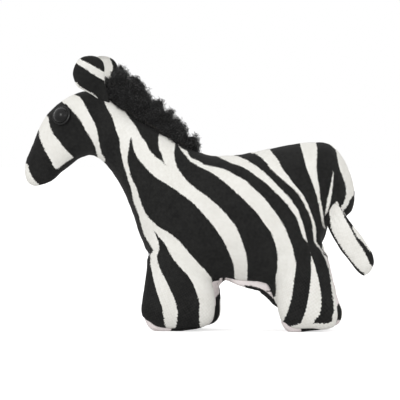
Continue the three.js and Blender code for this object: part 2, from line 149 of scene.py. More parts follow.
def lightWorld():
    world = bpy.data.worlds.new("whiteRoom")
    scene.world = world
    world.use_nodes = True
    tree = world.node_tree
    tree.nodes.clear()
    shown = nodeMath(tree, "MAXIMUM", *backdropRays(tree))
    room = addNode(tree, "ShaderNodeBackground", {"Color": white, "Strength": studio["roomStrength"]})
    backdrop = addNode(tree, "ShaderNodeBackground", {"Color": white, "Strength": 1.0})
    mixed = addNode(tree, "ShaderNodeMixShader", {0: shown, 1: room, 2: backdrop})
    addNode(tree, "ShaderNodeOutputWorld", {"Surface": mixed})


def layFloor():
    half, low = studio["floorSize"] / 2 * mm, -studio["floorDrop"] * mm
    mesh = bpy.data.meshes.new("paperFloor")
    corners = [(x * half, y * half, low) for x, y in ((-1, -1), (1, -1), (1, 1), (-1, 1))]
    mesh.from_pydata(corners, [], [(0, 1, 2, 3)])
    floor = bpy.data.objects.new("paperFloor", mesh)
    scene.collection.objects.link(floor)
    material, tree = newMaterial("whitePaper")  # white paper sweep that keeps a soft shadow
    seen, _ = backdropRays(tree)
    paper = addNode(tree, "ShaderNodeBsdfDiffuse", {"Color": (*[studio["paperGrey"]] * 3, 1)})
    glow = addNode(tree, "ShaderNodeEmission", {"Color": white, "Strength": studio["paperGlow"]})
    lit = addNode(tree, "ShaderNodeAddShader", {0: paper, 1: glow})
    mixed = addNode(tree, "ShaderNodeMixShader", {0: seen, 1: paper, 2: lit})
    addNode(tree, "ShaderNodeOutputMaterial", {"Surface": mixed})
    mesh.materials.append(material)


placeCamera()
lightWorld()
layFloor()
for name, lamp in studio["lamps"].items():
    addLamp(name, *lamp)
print("camera, floor and light placed")


# Materials: every bump is [strength, depth in millimetres], every scale is to a metre

# Printed plain-weave cotton: matt, chalky white with dense black ink whose edge breaks on the threads.
cottonLook = {
    "black": "#151515",
    "blackWorn": "#292928",
    "threadPitch": 0.62,  # real threads lie 0.35 mm apart, drawn coarser so that they show
    "broad": (90, 3),  # clouds of wear: scale and detail
    "fine": (1500, 2),  # loose fibres
    "fineHeight": 0.6,
    "slub": (1 / (1.5 * mm), 3, 0.6),  # thick and thin places along the threads
    "slubContrast": 1.5,
    "weaveWear": -0.5,
    "edgeSoftness": 0.16,
    "edgeRag": 0.55,
    "threadBump": (0.35, 0.12),
    "creaseBump": (0.3, 0.8),
    "surface": {"Roughness": 0.9, "Specular IOR Level": 0.16, "Sheen Weight": 0.04, "Sheen Roughness": 0.5},
}
# Polyester fibre wadding: bright, soft, clumped white, with faint grey painted shade in the hollows between its
# clumps.
waddingLook = {
    # painted shade, laid where the bump lies low
    "shade": "#E2E0DA",
    "colour": "#F4F3EF",
    "noise": (1 / (2.2 * mm), 6),  # scale and detail
    "bump": (0.8, 0.5),
    "surface": {"Roughness": 1.0, "Specular IOR Level": 0.1, "Sheen Weight": 0.3},
}
# Black curly acrylic fur: deep black, with a painted highlight that greys it a little towards each fibre's tip
# and in clumps, where the curls would catch light.
furLook = {
    "root": "#0B0B0B",
    # the tip colour is a painted highlight
    "tip": "#2C2B2A",
    "noise": (1 / (3.0 * mm), 4),
    "surface": {"Roughness": 0.7, "Specular IOR Level": 0.25, "Sheen Weight": 0.25, "Sheen Roughness": 0.4},
}
# Dark woven backing of the fur: coarse threads that show as a fine grid, with painted shade where the weave lies
# low.
backingLook = {
    # painted shade between the threads
    "shade": "#1D1C1B",
    "colour": "#34322F",
    "threadPitch": 0.8,
    "bump": (0.6, 0.2),
    "surface": {"Roughness": 0.95, "Specular IOR Level": 0.2},
}
# Polished acrylic eye: near-black, mirror-like with a clear highlight and faint moulding waves.
eyeLook = {
    "shade": "#060606",
    "colour": "#060606",
    "noise": (420, 1),
    "bump": (0.05, 0.1),
    "surface": {"Roughness": 0.24, "IOR": 1.49, "Specular IOR Level": 0.34},
}
# Moulded polythene washer: milky off-white with a waxy, slightly mottled face.
washerLook = {
    "shade": "#D3D2CA",
    "colour": "#E4E3DC",
    "noise": (300, 4),
    "bump": (0.15, 0.1),
    "surface": {"Roughness": 0.42, "IOR": 1.5},
}
# Spun polyester sewing thread: satin, with the twist's grooves shown as fine slanting bands of painted shade.
threadLook = {
    "colour": "#2A2A2C",
    "shadeShare": 0.7,
    "twistScale": 900,
    "surface": {"Roughness": 0.55, "Specular IOR Level": 0.4},
}


def hexColour(text):
    channels = [int(text[place:place + 2], 16) / 255 for place in (1, 3, 5)]
    linear = [c / 12.92 if c <= 0.04045 else ((c + 0.055) / 1.055) ** 2.4 for c in channels]
    return (*linear, 1.0)


def finishMaterial(tree, inputs):
    surface = addNode(tree, "ShaderNodeBsdfPrincipled", inputs)
    addNode(tree, "ShaderNodeOutputMaterial", {"Surface": surface})


def objectPlace(tree):
    return addNode(tree, "ShaderNodeTexCoord").outputs["Object"]


def objectNoise(tree, scale, detail, roughness=0.5):
    return addNode(tree, "ShaderNodeTexNoise", {"Vector": objectPlace(tree), "Scale": scale, "Detail": detail,
                                                "Roughness": roughness}).outputs[0]


def mixedColour(tree, factor, first, second):
    return addNode(tree, "ShaderNodeMix", {0: factor, 6: first, 7: second}, data_type="RGBA").outputs[2]


def bumped(tree, height, bump, **more):
    strength, depth = bump
    inputs = {"Strength": strength, "Distance": depth * mm, "Height": height, **more}
    return addNode(tree, "ShaderNodeBump", inputs)


# Threads over and under one another, from 0 to 1; place is a vector in millimetres.
def weaveHeight(tree, place, pitch):
    parts = addNode(tree, "ShaderNodeSeparateXYZ", {0: place}).outputs
    waves = [nodeMath(tree, "SINE", nodeMath(tree, "MULTIPLY", parts[axis], math.pi / pitch)) for axis in (0, 1)]
    return nodeMath(tree, "MULTIPLY_ADD", nodeMath(tree, "MULTIPLY", *waves), 0.5, 0.5)


def printedCotton(name, pale, paleWorn):
    material, tree = newMaterial(name)
    look = cottonLook
    weave = weaveHeight(tree, addNode(tree, "ShaderNodeUVMap", uv_map="clothMap"), look["threadPitch"])
    broad, fine, slub = (objectNoise(tree, *look[kind]) for kind in ("broad", "fine", "slub"))
    weaveSwing, fineSwing, slubSwing = (nodeMath(tree, "SUBTRACT", height, 0.5) for height in (weave, fine, slub))
    edge = addNode(tree, "ShaderNodeAttribute", attribute_name="ink").outputs["Fac"]
    for swing, share in ((fineSwing, 2), (slubSwing, 2), (weaveSwing, 1)):  # the print's edge breaks on all three
        edge = nodeMath(tree, "MULTIPLY_ADD", swing, look["edgeRag"] * share, edge)
    inked = addNode(tree, "ShaderNodeMapRange",
                    {"Value": edge, "From Min": -look["edgeSoftness"], "From Max": look["edgeSoftness"]},
                    interpolation_type="SMOOTHSTEP")
    wear = nodeMath(tree, "MULTIPLY_ADD", weaveSwing, look["weaveWear"], broad)
    wear = nodeMath(tree, "MULTIPLY_ADD", slubSwing, look["slubContrast"], wear)
    ends = [mixedColour(tree, wear, hexColour(fresh), hexColour(worn))
            for fresh, worn in ((pale, paleWorn), (look["black"], look["blackWorn"]))]
    threads = bumped(tree, nodeMath(tree, "MULTIPLY_ADD", fine, look["fineHeight"], weave), look["threadBump"])
    creases = bumped(tree, broad, look["creaseBump"], Normal=threads)
    finishMaterial(tree, {"Base Color": mixedColour(tree, inked, *ends), "Normal": creases, **look["surface"]})
    return material


def mottled(name, look, pattern=None):  # two colours and a bump, both by a noise or by the pattern given; the shade colour goes where the bump lies low
    material, tree = newMaterial(name)
    height = pattern(tree) if pattern else objectNoise(tree, *look["noise"])
    colour = mixedColour(tree, height, hexColour(look["shade"]), hexColour(look["colour"]))
    finishMaterial(tree, {"Base Color": colour, "Normal": bumped(tree, height, look["bump"]), **look["surface"]})
    return material


def backingWeave(tree):
    place = vectorMath(tree, "SCALE", objectPlace(tree), Scale=1 / mm)
    return weaveHeight(tree, place, backingLook["threadPitch"])


def curlyFur():
    material, tree = newMaterial("blackCurlyFur")
    upFibre = addNode(tree, "ShaderNodeAttribute", attribute_name="upFibre").outputs["Fac"]
    # painted highlight: the lighter tip colour rises along each fibre, in noise clumps
    lit = nodeMath(tree, "MULTIPLY", objectNoise(tree, *furLook["noise"]), upFibre)
    colour = mixedColour(tree, lit, hexColour(furLook["root"]), hexColour(furLook["tip"]))
    finishMaterial(tree, {"Base Color": colour, **furLook["surface"]})
    return material


def sewingThread():
    material, tree = newMaterial("blackSewingThread")
    twist = addNode(tree, "ShaderNodeTexWave", {"Vector": objectPlace(tree), "Scale": threadLook["twistScale"],
                                                "Distortion": 1.0}, bands_direction="DIAGONAL")
    colour = hexColour(threadLook["colour"])
    shade = (*[channel * threadLook["shadeShare"] for channel in colour[:3]], 1)
    # painted shade: darker slanting bands stand for the twist's grooves
    finishMaterial(tree, {"Base Color": mixedColour(tree, twist, shade, colour), **threadLook["surface"]})
    return material


bodyCotton = printedCotton("printedCottonSides", "#F3F2ED", "#E3E1DA")
underCotton = printedCotton("printedCottonUnderbody", "#F3ECEB", "#ECE1E0")  # a washed pink
wadding = mottled("polyesterWadding", waddingLook)
fur = curlyFur()
backing = mottled("wovenFurBacking", backingLook, backingWeave)
eyePlastic = mottled("polishedBlackAcrylic", eyeLook)
washerPlastic = mottled("milkyPolythene", washerLook)
darkThread = sewingThread()
print("materials made")


# Meshes

def readValues(rows, attribute, width, kind=float):
    flat = np.empty(len(rows) * width, kind)
    rows.foreach_get(attribute, flat)
    return flat.reshape(-1, width)


def meshObject(name, points, faces, edges=()):
    mesh = bpy.data.meshes.new(name)
    mesh.from_pydata((np.asarray(points, float) * mm).tolist(), edges, faces)
    mesh.update()
    obj = bpy.data.objects.new(name, mesh)
    scene.collection.objects.link(obj)
    return obj


def meshPoints(obj):
    return readValues(obj.data.vertices, "co", 3) / mm


def meshNormals(obj):
    return readValues(obj.data.vertices, "normal", 3)


def edgePairs(obj):
    return readValues(obj.data.edges, "vertices", 2, int)


def cornerPoints(obj):  # the point at each corner of each face
    return meshPoints(obj)[readValues(obj.data.loops, "vertex_index", 1, int).ravel()]


def movePoints(obj, points):
    obj.data.vertices.foreach_set("co", (np.asarray(points) * mm).ravel())
    obj.data.update()


def meshFaces(obj):
    return [tuple(face.vertices) for face in obj.data.polygons]


def bakeModifiers(obj):
    graph = bpy.context.evaluated_depsgraph_get()
    mesh = bpy.data.meshes.new_from_object(obj.evaluated_get(graph))
    obj.modifiers.clear()
    old = obj.data
    obj.data = mesh
    bpy.data.meshes.remove(old)


def dropObject(obj):
    mesh = obj.data
    bpy.data.objects.remove(obj)
    bpy.data.meshes.remove(mesh)


@contextmanager
def meshWork(mesh):
    work = bmesh.new()
    work.from_mesh(mesh)
    yield work
    work.to_mesh(mesh)
    work.free()
    mesh.update()


def turnOutward(obj):
    with meshWork(obj.data) as work:
        bmesh.ops.recalc_face_normals(work, faces=work.faces)


def shadeSmooth(obj):
    obj.data.polygons.foreach_set("use_smooth", [True] * len(obj.data.polygons))
    obj.data.update()


def voxelRemesh(obj, size):
    remesh = obj.modifiers.new("remesh", "REMESH")
    remesh.mode = "VOXEL"
    remesh.voxel_size = size * mm
    bakeModifiers(obj)


def spread(values, pairs):  # each point's mean over its neighbours
    total = np.zeros(values.shape)
    np.add.at(total, pairs[:, 0], values[pairs[:, 1]])
    np.add.at(total, pairs[:, 1], values[pairs[:, 0]])
    number = np.bincount(pairs.ravel(), minlength=len(values))[:, None]
    return total / np.maximum(number, 1)


def eased(values, pairs):
    return (values + spread(values, pairs)) / 2


def relax(obj, turns):  # smooths without shrinking
    points, pairs = meshPoints(obj), edgePairs(obj)
    for _ in range(turns):
        for strength in (0.5, -0.52):  # towards its neighbours, and then a little further out again
            points += strength * (spread(points, pairs) - points)
    movePoints(obj, points)


def unitRows(rows):
    return rows / np.linalg.norm(rows, axis=1, keepdims=True)


def curveAt(part, a, b, c, d):  # a smooth curve from b to c
    return b + 0.5 * part * (c - a + part * (2 * a - 5 * b + 4 * c - d + part * (3 * (b - c) + d - a)))


def smoothRows(rows, shares):  # a smooth curve through each column of a table
    rows = np.array(rows, float)
    last = len(rows) - 1
    place = np.clip(shares * last, 0, last - 1e-9)
    low = place.astype(int)
    longer = np.vstack([2 * rows[0] - rows[1], rows, 2 * rows[-1] - rows[-2]])
    return curveAt((place - low)[:, None], *(longer[low + step] for step in range(4)))


def smoothLine(corners, closed, steps=4):
    corners = np.array(corners, float)
    count = len(corners)
    pick = (lambda place: place % count) if closed else (lambda place: np.clip(place, 0, count - 1))
    part = np.arange(steps)[:, None] / steps
    rows = [curveAt(part, *(corners[pick(span + step)] for step in (-1, 0, 1, 2)))
            for span in range(count if closed else count - 1)]
    return np.vstack(rows if closed else [*rows, corners[-1:]])


def smoothStep(low, high, value):
    part = np.clip((np.asarray(value, float) - low) / (high - low), 0, 1)
    return part * part * (3 - 2 * part)


def noiseAt(points, length, shift=(0, 0, 0)):
    return np.array([noise.noise(Vector(point) / length + Vector(shift)) for point in points])


def nearestOf(places, points):  # for each point the nearest place, and how far off it is
    tree = KDTree(len(places))
    for number, place in enumerate(places):
        tree.insert(place, number)
    tree.balance()
    found = [tree.find(point) for point in points]
    return np.array([hit[0] for hit in found]), np.array([hit[2] for hit in found])


def nearestOn(cover, points):  # for each point the nearest place on a cover, and the normal there
    found = [cover.find_nearest(Vector(point)) for point in points]
    return np.array([hit[0] for hit in found]), np.array([hit[1] for hit in found])


def loftFaces(ringCount, sides):
    faces = []
    for ring in range(ringCount - 1):
        for side in range(sides):
            here = ring * sides + side
            beside = ring * sides + (side + 1) % sides
            faces.append((here, beside, beside + sides, here + sides))
    return faces


def closedLoft(name, rings, hubs=None):  # rings of equally many points, closed by a fan at each end
    rings = np.asarray(rings, float)
    count, sides = rings.shape[:2]
    points = np.vstack([rings.reshape(-1, 3), hubs or (rings[0].mean(0), rings[-1].mean(0))])
    faces = loftFaces(count, sides)
    hub, top = count * sides, (count - 1) * sides
    for side in range(sides):
        beside = (side + 1) % sides
        faces.append((hub, beside, side))
        faces.append((hub + 1, top + side, top + beside))
    obj = meshObject(name, points, faces)
    turnOutward(obj)
    return obj


# The stuffed body, drawn from the same outline as the frame

bodyShape = {
    "length": 183,
    "poll": 131,
    "width": 46,
    "fullness": 0.85,
    "startX": -100.079,  # the outline's own zero, in the frame
    "rings": 170,
    "sides": 96,
    "leastHalf": 0.8,  # half width at the nose and the rump
    "leastShare": 0.2,  # no section is drawn in to less of its height
    "slack": 0.2,  # sewn this much smaller, before the stuffing fills it
    # [back X, back Z, underside X, underside Z, half width], shares of length, poll and half the width
    "outline": [
        (0.005, 0.668, 0.009, 0.624, 0.13), (0.011, 0.714, 0.036, 0.597, 0.26),
        (0.03, 0.777, 0.085, 0.618, 0.37), (0.058, 0.87, 0.118, 0.658, 0.48),
        (0.097, 0.937, 0.147, 0.689, 0.57), (0.155, 0.992, 0.173, 0.718, 0.63),
        (0.209, 1.004, 0.197, 0.729, 0.65), (0.264, 0.979, 0.221, 0.727, 0.65),
        (0.321, 0.922, 0.248, 0.702, 0.65), (0.379, 0.874, 0.282, 0.641, 0.67),
        (0.436, 0.826, 0.312, 0.567, 0.74), (0.494, 0.777, 0.338, 0.479, 0.85),
        (0.545, 0.744, 0.364, 0.378, 0.96), (0.594, 0.733, 0.406, 0.269, 1),
        (0.648, 0.737, 0.506, 0.223, 1), (0.706, 0.752, 0.615, 0.21, 1),
        (0.767, 0.769, 0.724, 0.181, 1), (0.827, 0.786, 0.827, 0.197, 0.98),
        (0.882, 0.792, 0.891, 0.303, 0.89), (0.93, 0.784, 0.924, 0.437, 0.7),
        (0.968, 0.731, 0.967, 0.464, 0.48), (0.995, 0.647, 0.995, 0.496, 0.26),
        (1.005, 0.588, 1.005, 0.542, 0.09),
    ],
}
legShape = {
    "thickness": 20.8,
    "middle": 12.0,  # from the toy's middle plane to the leg's
    "sink": 0.5,  # the feet are pressed flat by this much
    "rings": 60,
    "sides": 56,
    "farTrim": (1.9, 10, 20),  # the right hind leg is sewn this much slimmer at its back, from the foot up
    # [height, front, rear, thickness], shares of poll, length, length and thickness
    "front": [
        (0.466, 0.403, 0.567, 0.82), (0.34, 0.391, 0.579, 0.94), (0.214, 0.379, 0.589, 0.98),
        (0.13, 0.371, 0.595, 1), (0.076, 0.368, 0.595, 0.96), (0.042, 0.379, 0.586, 0.8),
        (0.019, 0.389, 0.561, 0.6), (0.006, 0.402, 0.506, 0.38), (0, 0.415, 0.479, 0.19),
    ],
    "hind": [
        (0.466, 0.77, 0.9, 0.82), (0.361, 0.773, 0.918, 0.92), (0.265, 0.774, 0.939, 0.98),
        (0.172, 0.777, 0.955, 1), (0.118, 0.777, 0.961, 1), (0.076, 0.782, 0.964, 0.96),
        (0.042, 0.789, 0.959, 0.8), (0.019, 0.798, 0.945, 0.6), (0.006, 0.806, 0.87, 0.38),
        (0, 0.815, 0.852, 0.19),
    ],
}
webShape = {  # cloth that spans the corners between the belly and the legs
    "half": 10.2,
    "endShares": (0.72, 0.86, 0.95, 1.0, 1.0, 1.0, 0.95, 0.86, 0.72),
    "frontX": (-9, -4),  # from this run to the next one the gusset dips between the legs
    "hindX": (54, 58),
    "reach": (2.6, 6.0),  # and this far to the side
    "drop": 14.0,
    # [along, up]
    "front": [(-4, 36), (-5, 24), (4.8, 18.4), (7.6, 21.8), (9.6, 25.8), (12.0, 28.4), (18, 36)],
    "hind": [(12, 36), (13.6, 28.0), (18, 25.6), (24.6, 23.5), (30, 22.2), (34, 20.0), (37.4, 17.2), (40, 14.4),
        (42.5, 12.2), (50, 13), (52, 36)],
}
bellySeam = [  # the height of the side panels' lower edge between the legs: (x, z)
    (-2.0, 60.0), (3.0, 34.0), (6.5, 29.6), (8.5, 28.3), (12.5, 28.5), (21.9, 27.5), (31.9, 26.9), (36.2, 26.0),
    (37.6, 24.9), (38.7, 22.6), (39.8, 18.8), (41.0, 14.9), (41.6, 13.5), (42.6, 60.0),
]
skinMesh = {
    "voxel": 1.6,
    "relaxTurns": 8,
    "easeTurns": 3,
    "footReach": 0.6,  # points this near the floor are held there
    "swellCap": 0.7,
    "pinReach": 1.7,
    "frames": 20,
    "cloth": {
        "uniform_pressure_force": 300.0,  # high, because each face of so small a toy is tiny
        "quality": 5,
        "mass": 0.3,
        "tension_stiffness": 12,
        "compression_stiffness": 12,
        "shear_stiffness": 5,
        "bending_stiffness": 0.4,
        "use_pressure": True,
        "pin_stiffness": 1,
    },
}
seams = {
    "gussetFront": (-37.9, 33.0, 41.0),  # x, height at the leg seams, height at the point
    "gussetRear": (82.9, 43.0, 48.5),
    "gussetHalf": 12.0,
    "frontLegTop": 26.9,
    "hindLegTop": 21.6,
    "middleX": 13.0,  # between the front and the hind legs
    "toeShift": 4.9,  # the inner leg pieces wrap out under the toes by this much
    "toeHeight": (4, 8),  # up to here
    "toeRuns": (((-34, -29), (-5, 3)), ((41, 47), (62, 69))),  # where each toe starts and ends along the toy
    "parting": 0.06,  # between two sewn panels
    "creaseDepth": 0.75,
    "creaseWidth": 1.1,
    "puckerHeight": 0.32,
    "puckerLength": 3.4,
    "puckerReach": 5.0,
    "puckerStart": (0, 1.5),
    "foldRidge": (0.35, 2.6),  # height and distance of the low ridge beside a fold, shares of its depth and width
    "lumpHeight": 0.28,
    "lumpLength": 13,
    "clothThickness": 0.5,
}
panels = {  # each cut piece of the cover and the node that it stands for
    "leftSidePanel": "left_side_panel",
    "rightSidePanel": "right_side_panel",
    "bellyGusset": "belly_gusset",
    "frontLeftInnerLeg": "front_left_inner_leg",
    "frontRightInnerLeg": "front_right_inner_leg",
    "hindLeftInnerLeg": "hind_left_inner_leg",
    "hindRightInnerLeg": "hind_right_inner_leg",
}


def fullPower(value):
    return np.sign(value) * np.abs(value) ** bodyShape["fullness"]


def sectionRings(centres, halfUp, halfAcross, sides):
    angle = np.linspace(0, 2 * math.pi, sides, endpoint=False)
    up = fullPower(np.cos(angle))[None, :, None]
    across = fullPower(np.sin(angle))[None, :, None]
    return centres[:, None] + halfUp[:, None] * up + halfAcross[:, None] * across


def alongAxis(values, axis):  # a column of numbers as vectors along X, Y or Z
    rows = np.zeros((len(values), 3))
    rows[:, axis] = values
    return rows


def drawnIn(halfUp, inset):
    size = np.linalg.norm(halfUp, axis=1, keepdims=True)
    return halfUp * np.maximum(1 - inset / size, bodyShape["leastShare"])


def bodyLoft(inset):
    backX, backZ, underX, underZ, half = smoothRows(bodyShape["outline"], np.linspace(0, 1, bodyShape["rings"])).T
    length, poll, start = bodyShape["length"], bodyShape["poll"], bodyShape["startX"]
    back, under = (alongAxis(x * length + start, 0) + alongAxis(z * poll, 2)
                   for x, z in ((backX, backZ), (underX, underZ)))
    across = alongAxis(np.maximum(half * bodyShape["width"] / 2 - inset, bodyShape["leastHalf"]), 1)
    rings = sectionRings((back + under) / 2, drawnIn((back - under) / 2, inset), across, bodyShape["sides"])
    return closedLoft("bodyLoft", rings)


def legLoft(pair, side, inset):
    height, front, rear, thick = smoothRows(legShape[pair], np.linspace(0, 1, legShape["rings"])).T
    length = bodyShape["length"]
    if side > 0 and pair == "hind":
        trim, low, high = legShape["farTrim"]
        rear = rear - trim / length * smoothStep(low, high, height * bodyShape["poll"])
    up = height * bodyShape["poll"] - legShape["sink"]
    up[-1] += inset
    middle = (front + rear) / 2 * length + bodyShape["startX"]
    centres = np.stack([middle, np.full(len(up), side * legShape["middle"]), up], 1)
    along = alongAxis((rear - front) / 2 * length - inset, 0)
    across = alongAxis(thick * legShape["thickness"] / 2 - inset, 1)
    return closedLoft("legLoft", sectionRings(centres, along, across, legShape["sides"]))


def webLoft(pair):
    line = smoothLine(webShape[pair], True)
    middle = line.mean(0)
    places = np.linspace(-webShape["half"], webShape["half"], len(webShape["endShares"]))
    plans = [middle + (line - middle) * share for share in webShape["endShares"]]
    return closedLoft("webLoft", [np.insert(plan, 1, place, axis=1) for plan, place in zip(plans, places)])


def joinObjects(objects, name):
    points, faces = [], []
    for obj in objects:
        first = sum(len(part) for part in points)
        points.append(meshPoints(obj))
        faces += [tuple(corner + first for corner in face) for face in meshFaces(obj)]
        dropObject(obj)
    return meshObject(name, np.vstack(points), faces)


def seamHalfWidth(x, z):
    low = 1 - smoothStep(*seams["toeHeight"], z)
    toes = sum(smoothStep(*front, x) * (1 - smoothStep(*rear, x)) for front, rear in seams["toeRuns"])
    return seams["gussetHalf"] + seams["toeShift"] * toes * low


def underbodyField(points):  # above zero on the gusset and the inner legs
    x, y, z = points.T
    (frontX, frontSide, frontTip), (rearX, rearSide, rearTip) = seams["gussetFront"], seams["gussetRear"]
    along = (x - frontX) / (rearX - frontX)
    shoulder = frontSide + (rearSide - frontSide) * along
    tip = frontTip + (rearTip - frontTip) * along
    half = seamHalfWidth(x, z)
    across = np.abs(y)
    roof = tip + (shoulder - tip) * np.clip(across / half, 0, 1)
    roof = np.minimum(roof, np.interp(x, *zip(*bellySeam)))
    return np.minimum(half - across, roof - z)


def legTopField(points):  # above zero on the inner legs
    x, y, z = points.T
    low = webShape["drop"] * (1 - smoothStep(*webShape["reach"], np.abs(y)))
    front = seams["frontLegTop"] - low * smoothStep(*webShape["frontX"], x) - z
    hind = seams["hindLegTop"] - low * (1 - smoothStep(*webShape["hindX"], x)) - z
    return np.where(x < seams["middleX"], front, hind)


def middleField(points):
    return points[:, 1]


def panelLabels(points):  # the number of the panel that each point lies on
    right = points[:, 1] > 0
    leg = 3 + right + 2 * (points[:, 0] > seams["middleX"])
    return np.where(underbodyField(points) > 0, np.where(legTopField(points) > 0, leg, 2), right.astype(int))


def slideOnto(points, normals, field, chosen, turns=5):  # moves points along the surface onto a seam
    nudge, longest = 1e-3, 0.6
    for _ in range(turns):
        here = points[chosen]
        value = field(here)
        slope = np.stack([(field(here + step) - value) / nudge for step in np.eye(3) * nudge], 1)
        normal = normals[chosen]
        slope -= (slope * normal).sum(1, keepdims=True) * normal
        size = np.maximum((slope ** 2).sum(1), 0.05)
        move = -slope * (value / size)[:, None]
        length = np.linalg.norm(move, axis=1, keepdims=True)
        points[chosen] = here + move * np.minimum(1, longest / np.maximum(length, 1e-9))


def seamCorners(faces, labels, count):  # which panels meet at each point
    meets = np.zeros((count, len(panels)), bool)
    for face, label in zip(faces, labels):
        meets[list(face), label] = True
    return meets


def panelsOf(obj):
    points, faces = meshPoints(obj), meshFaces(obj)
    labels = panelLabels(np.array([points[list(face)].mean(0) for face in faces]))
    return points, faces, labels, seamCorners(faces, labels, len(points))


def swell(form, anchors):  # the stuffing presses the cover out between its seams
    start = meshPoints(form)
    distance = nearestOf(anchors, start)[1]
    reach = skinMesh["pinReach"]
    foot = start[:, 2] < skinMesh["footReach"]
    weights = np.where(foot, 1, 1 - smoothStep(reach, 2 * reach, distance))
    pins = form.vertex_groups.new(name="seamPins")
    for place in np.flatnonzero(foot | (distance < 2 * reach)):
        pins.add([int(place)], float(weights[place]), "REPLACE")
    sewn = form.modifiers.new("fill", "CLOTH")
    for setting, value in skinMesh["cloth"].items():
        setattr(sewn.settings, setting, value)
    sewn.settings.effector_weights.gravity = 0
    sewn.settings.vertex_group_mass = "seamPins"
    sewn.collision_settings.use_collision = False
    sewn.point_cache.frame_start = 1
    sewn.point_cache.frame_end = skinMesh["frames"]
    for step in range(1, skinMesh["frames"] + 1):
        scene.frame_set(step)
    graph = bpy.context.evaluated_depsgraph_get()
    filled = form.evaluated_get(graph).to_mesh()
    moved = readValues(filled.vertices, "co", 3) / mm - start
    form.evaluated_get(graph).to_mesh_clear()
    form.modifiers.clear()
    form.vertex_groups.clear()
    scene.frame_set(1)
    far = np.linalg.norm(moved, axis=1, keepdims=True)
    print("cloth moved", round(float(far.mean()), 2), "mm on average,", round(float(far.max()), 2), "at most")
    moved *= np.minimum(1, skinMesh["swellCap"] / np.maximum(far, 1e-9))
    pairs = edgePairs(form)
    for _ in range(skinMesh["easeTurns"]):
        moved = eased(moved, pairs)
    movePoints(form, start + moved)


def makeForm():
    slack = bodyShape["slack"]
    pairs = ("front", "hind")
    parts = [bodyLoft(slack)] + [legLoft(pair, side, slack) for pair in pairs for side in (-1, 1)]
    form = joinObjects(parts + [webLoft(pair) for pair in pairs], "bodyForm")
    voxelRemesh(form, skinMesh["voxel"])
    relax(form, skinMesh["relaxTurns"])
    points, _, _, meets = panelsOf(form)
    swell(form, points[meets.sum(1) > 1])
    print("cover filled")
    finer = form.modifiers.new("finer", "SUBSURF")
    finer.levels = finer.render_levels = 1
    bakeModifiers(form)
    movePoints(form, np.maximum(meshPoints(form), (-np.inf, -np.inf, 0)))
    return form


form = makeForm()
print("body form made,", len(form.data.vertices), "points")


# Seams: the form is divided into the sewn panels, and drawn in along their edges

dimples = [  # pulled in by the eyes and the tail's seam: [point, radius, depth]
    ((-76.6, -12.4, 117.9), 6.5, 0.9),
    ((-76.6, 12.4, 117.9), 6.5, 0.9),
    ((76.0, -9.5, 66.5), 7.5, 1.3),
    ((78.5, -5.0, 70.5), 4.0, 0.8),
]
folds = [  # creases in the cloth, drawn on the side plan: [[points], half width, depth]
    ([(-30.0, 42.0), (-25.5, 43.5), (-20.0, 42.0)], 1.5, 0.7),
    ([(67.0, 43.5), (63.5, 47.5), (61.5, 53.0)], 1.6, 0.8),
    ([(67.0, 43.5), (62.5, 41.5), (57.5, 41.0)], 1.4, 0.5),
    ([(75.5, 71.0), (73.0, 78.0), (71.8, 85.0)], 1.3, 0.5),
    ([(69.0, 62.0), (66.0, 70.0), (64.5, 78.0)], 1.4, 0.4),
    ([(-62.0, 95.5), (-58.5, 99.5), (-56.5, 105.0)], 1.4, 0.5),
    ([(6.0, 26.0), (-1.0, 33.0), (-7.0, 38.0)], 1.8, 0.5),
    ([(40.5, 27.0), (44.0, 34.0), (45.0, 42.0)], 1.8, 0.5),
]


def sidePlan(points, side=-1):  # across and up on the side plan, drawn as the print was laid out for it
    right, away, middle = viewAxes()
    offset = np.asarray(points, float) * (1, -side, 1) - middle
    nearer = view["distance"] / (view["distance"] - offset @ away)
    return np.stack([offset @ right * nearer + view["across"],
                     offset @ np.cross(away, right) * nearer + view["up"]], 1)


def lineDistance(plan, line, closed):
    ends = np.roll(line, -1, axis=0) if closed else line[1:]
    nearest = np.full(len(plan), np.inf)
    for start, end in zip(line, ends):
        along = end - start
        part = np.clip(((plan - start) @ along) / max(along @ along, 1e-12), 0, 1)
        gap = plan - start - part[:, None] * along
        nearest = np.minimum(nearest, (gap ** 2).sum(1))
    return np.sqrt(nearest)


def inside(plan, line):
    x, y = plan.T
    result = np.zeros(len(plan), bool)
    for (ax, ay), (bx, by) in zip(line, np.roll(line, -1, axis=0)):
        if ay == by:
            continue
        crosses = (ay > y) != (by > y)
        result ^= crosses & (x < (bx - ax) * (y - ay) / (by - ay) + ax)
    return result


def depthInside(plan, line):  # above zero inside a closed line, by the distance to it
    gap = lineDistance(plan, line, True)
    return np.where(inside(plan, line), gap, -gap)


def inkField(plan, shapes, bare=()):  # above zero where the cloth is printed black, in millimetres
    farOff, margin = 30.0, 4  # beyond the margin a shape's own distance doesn't matter
    field = np.full(len(plan), -farOff)
    for corners in shapes:
        line = smoothLine(corners, True)
        near = np.all((plan > line.min(0) - margin) & (plan < line.max(0) + margin), axis=1)
        if near.any():
            field[near] = np.maximum(field[near], depthInside(plan[near], line))
    for corners in bare:
        field = np.minimum(field, -depthInside(plan, smoothLine(corners, True)))
    return field


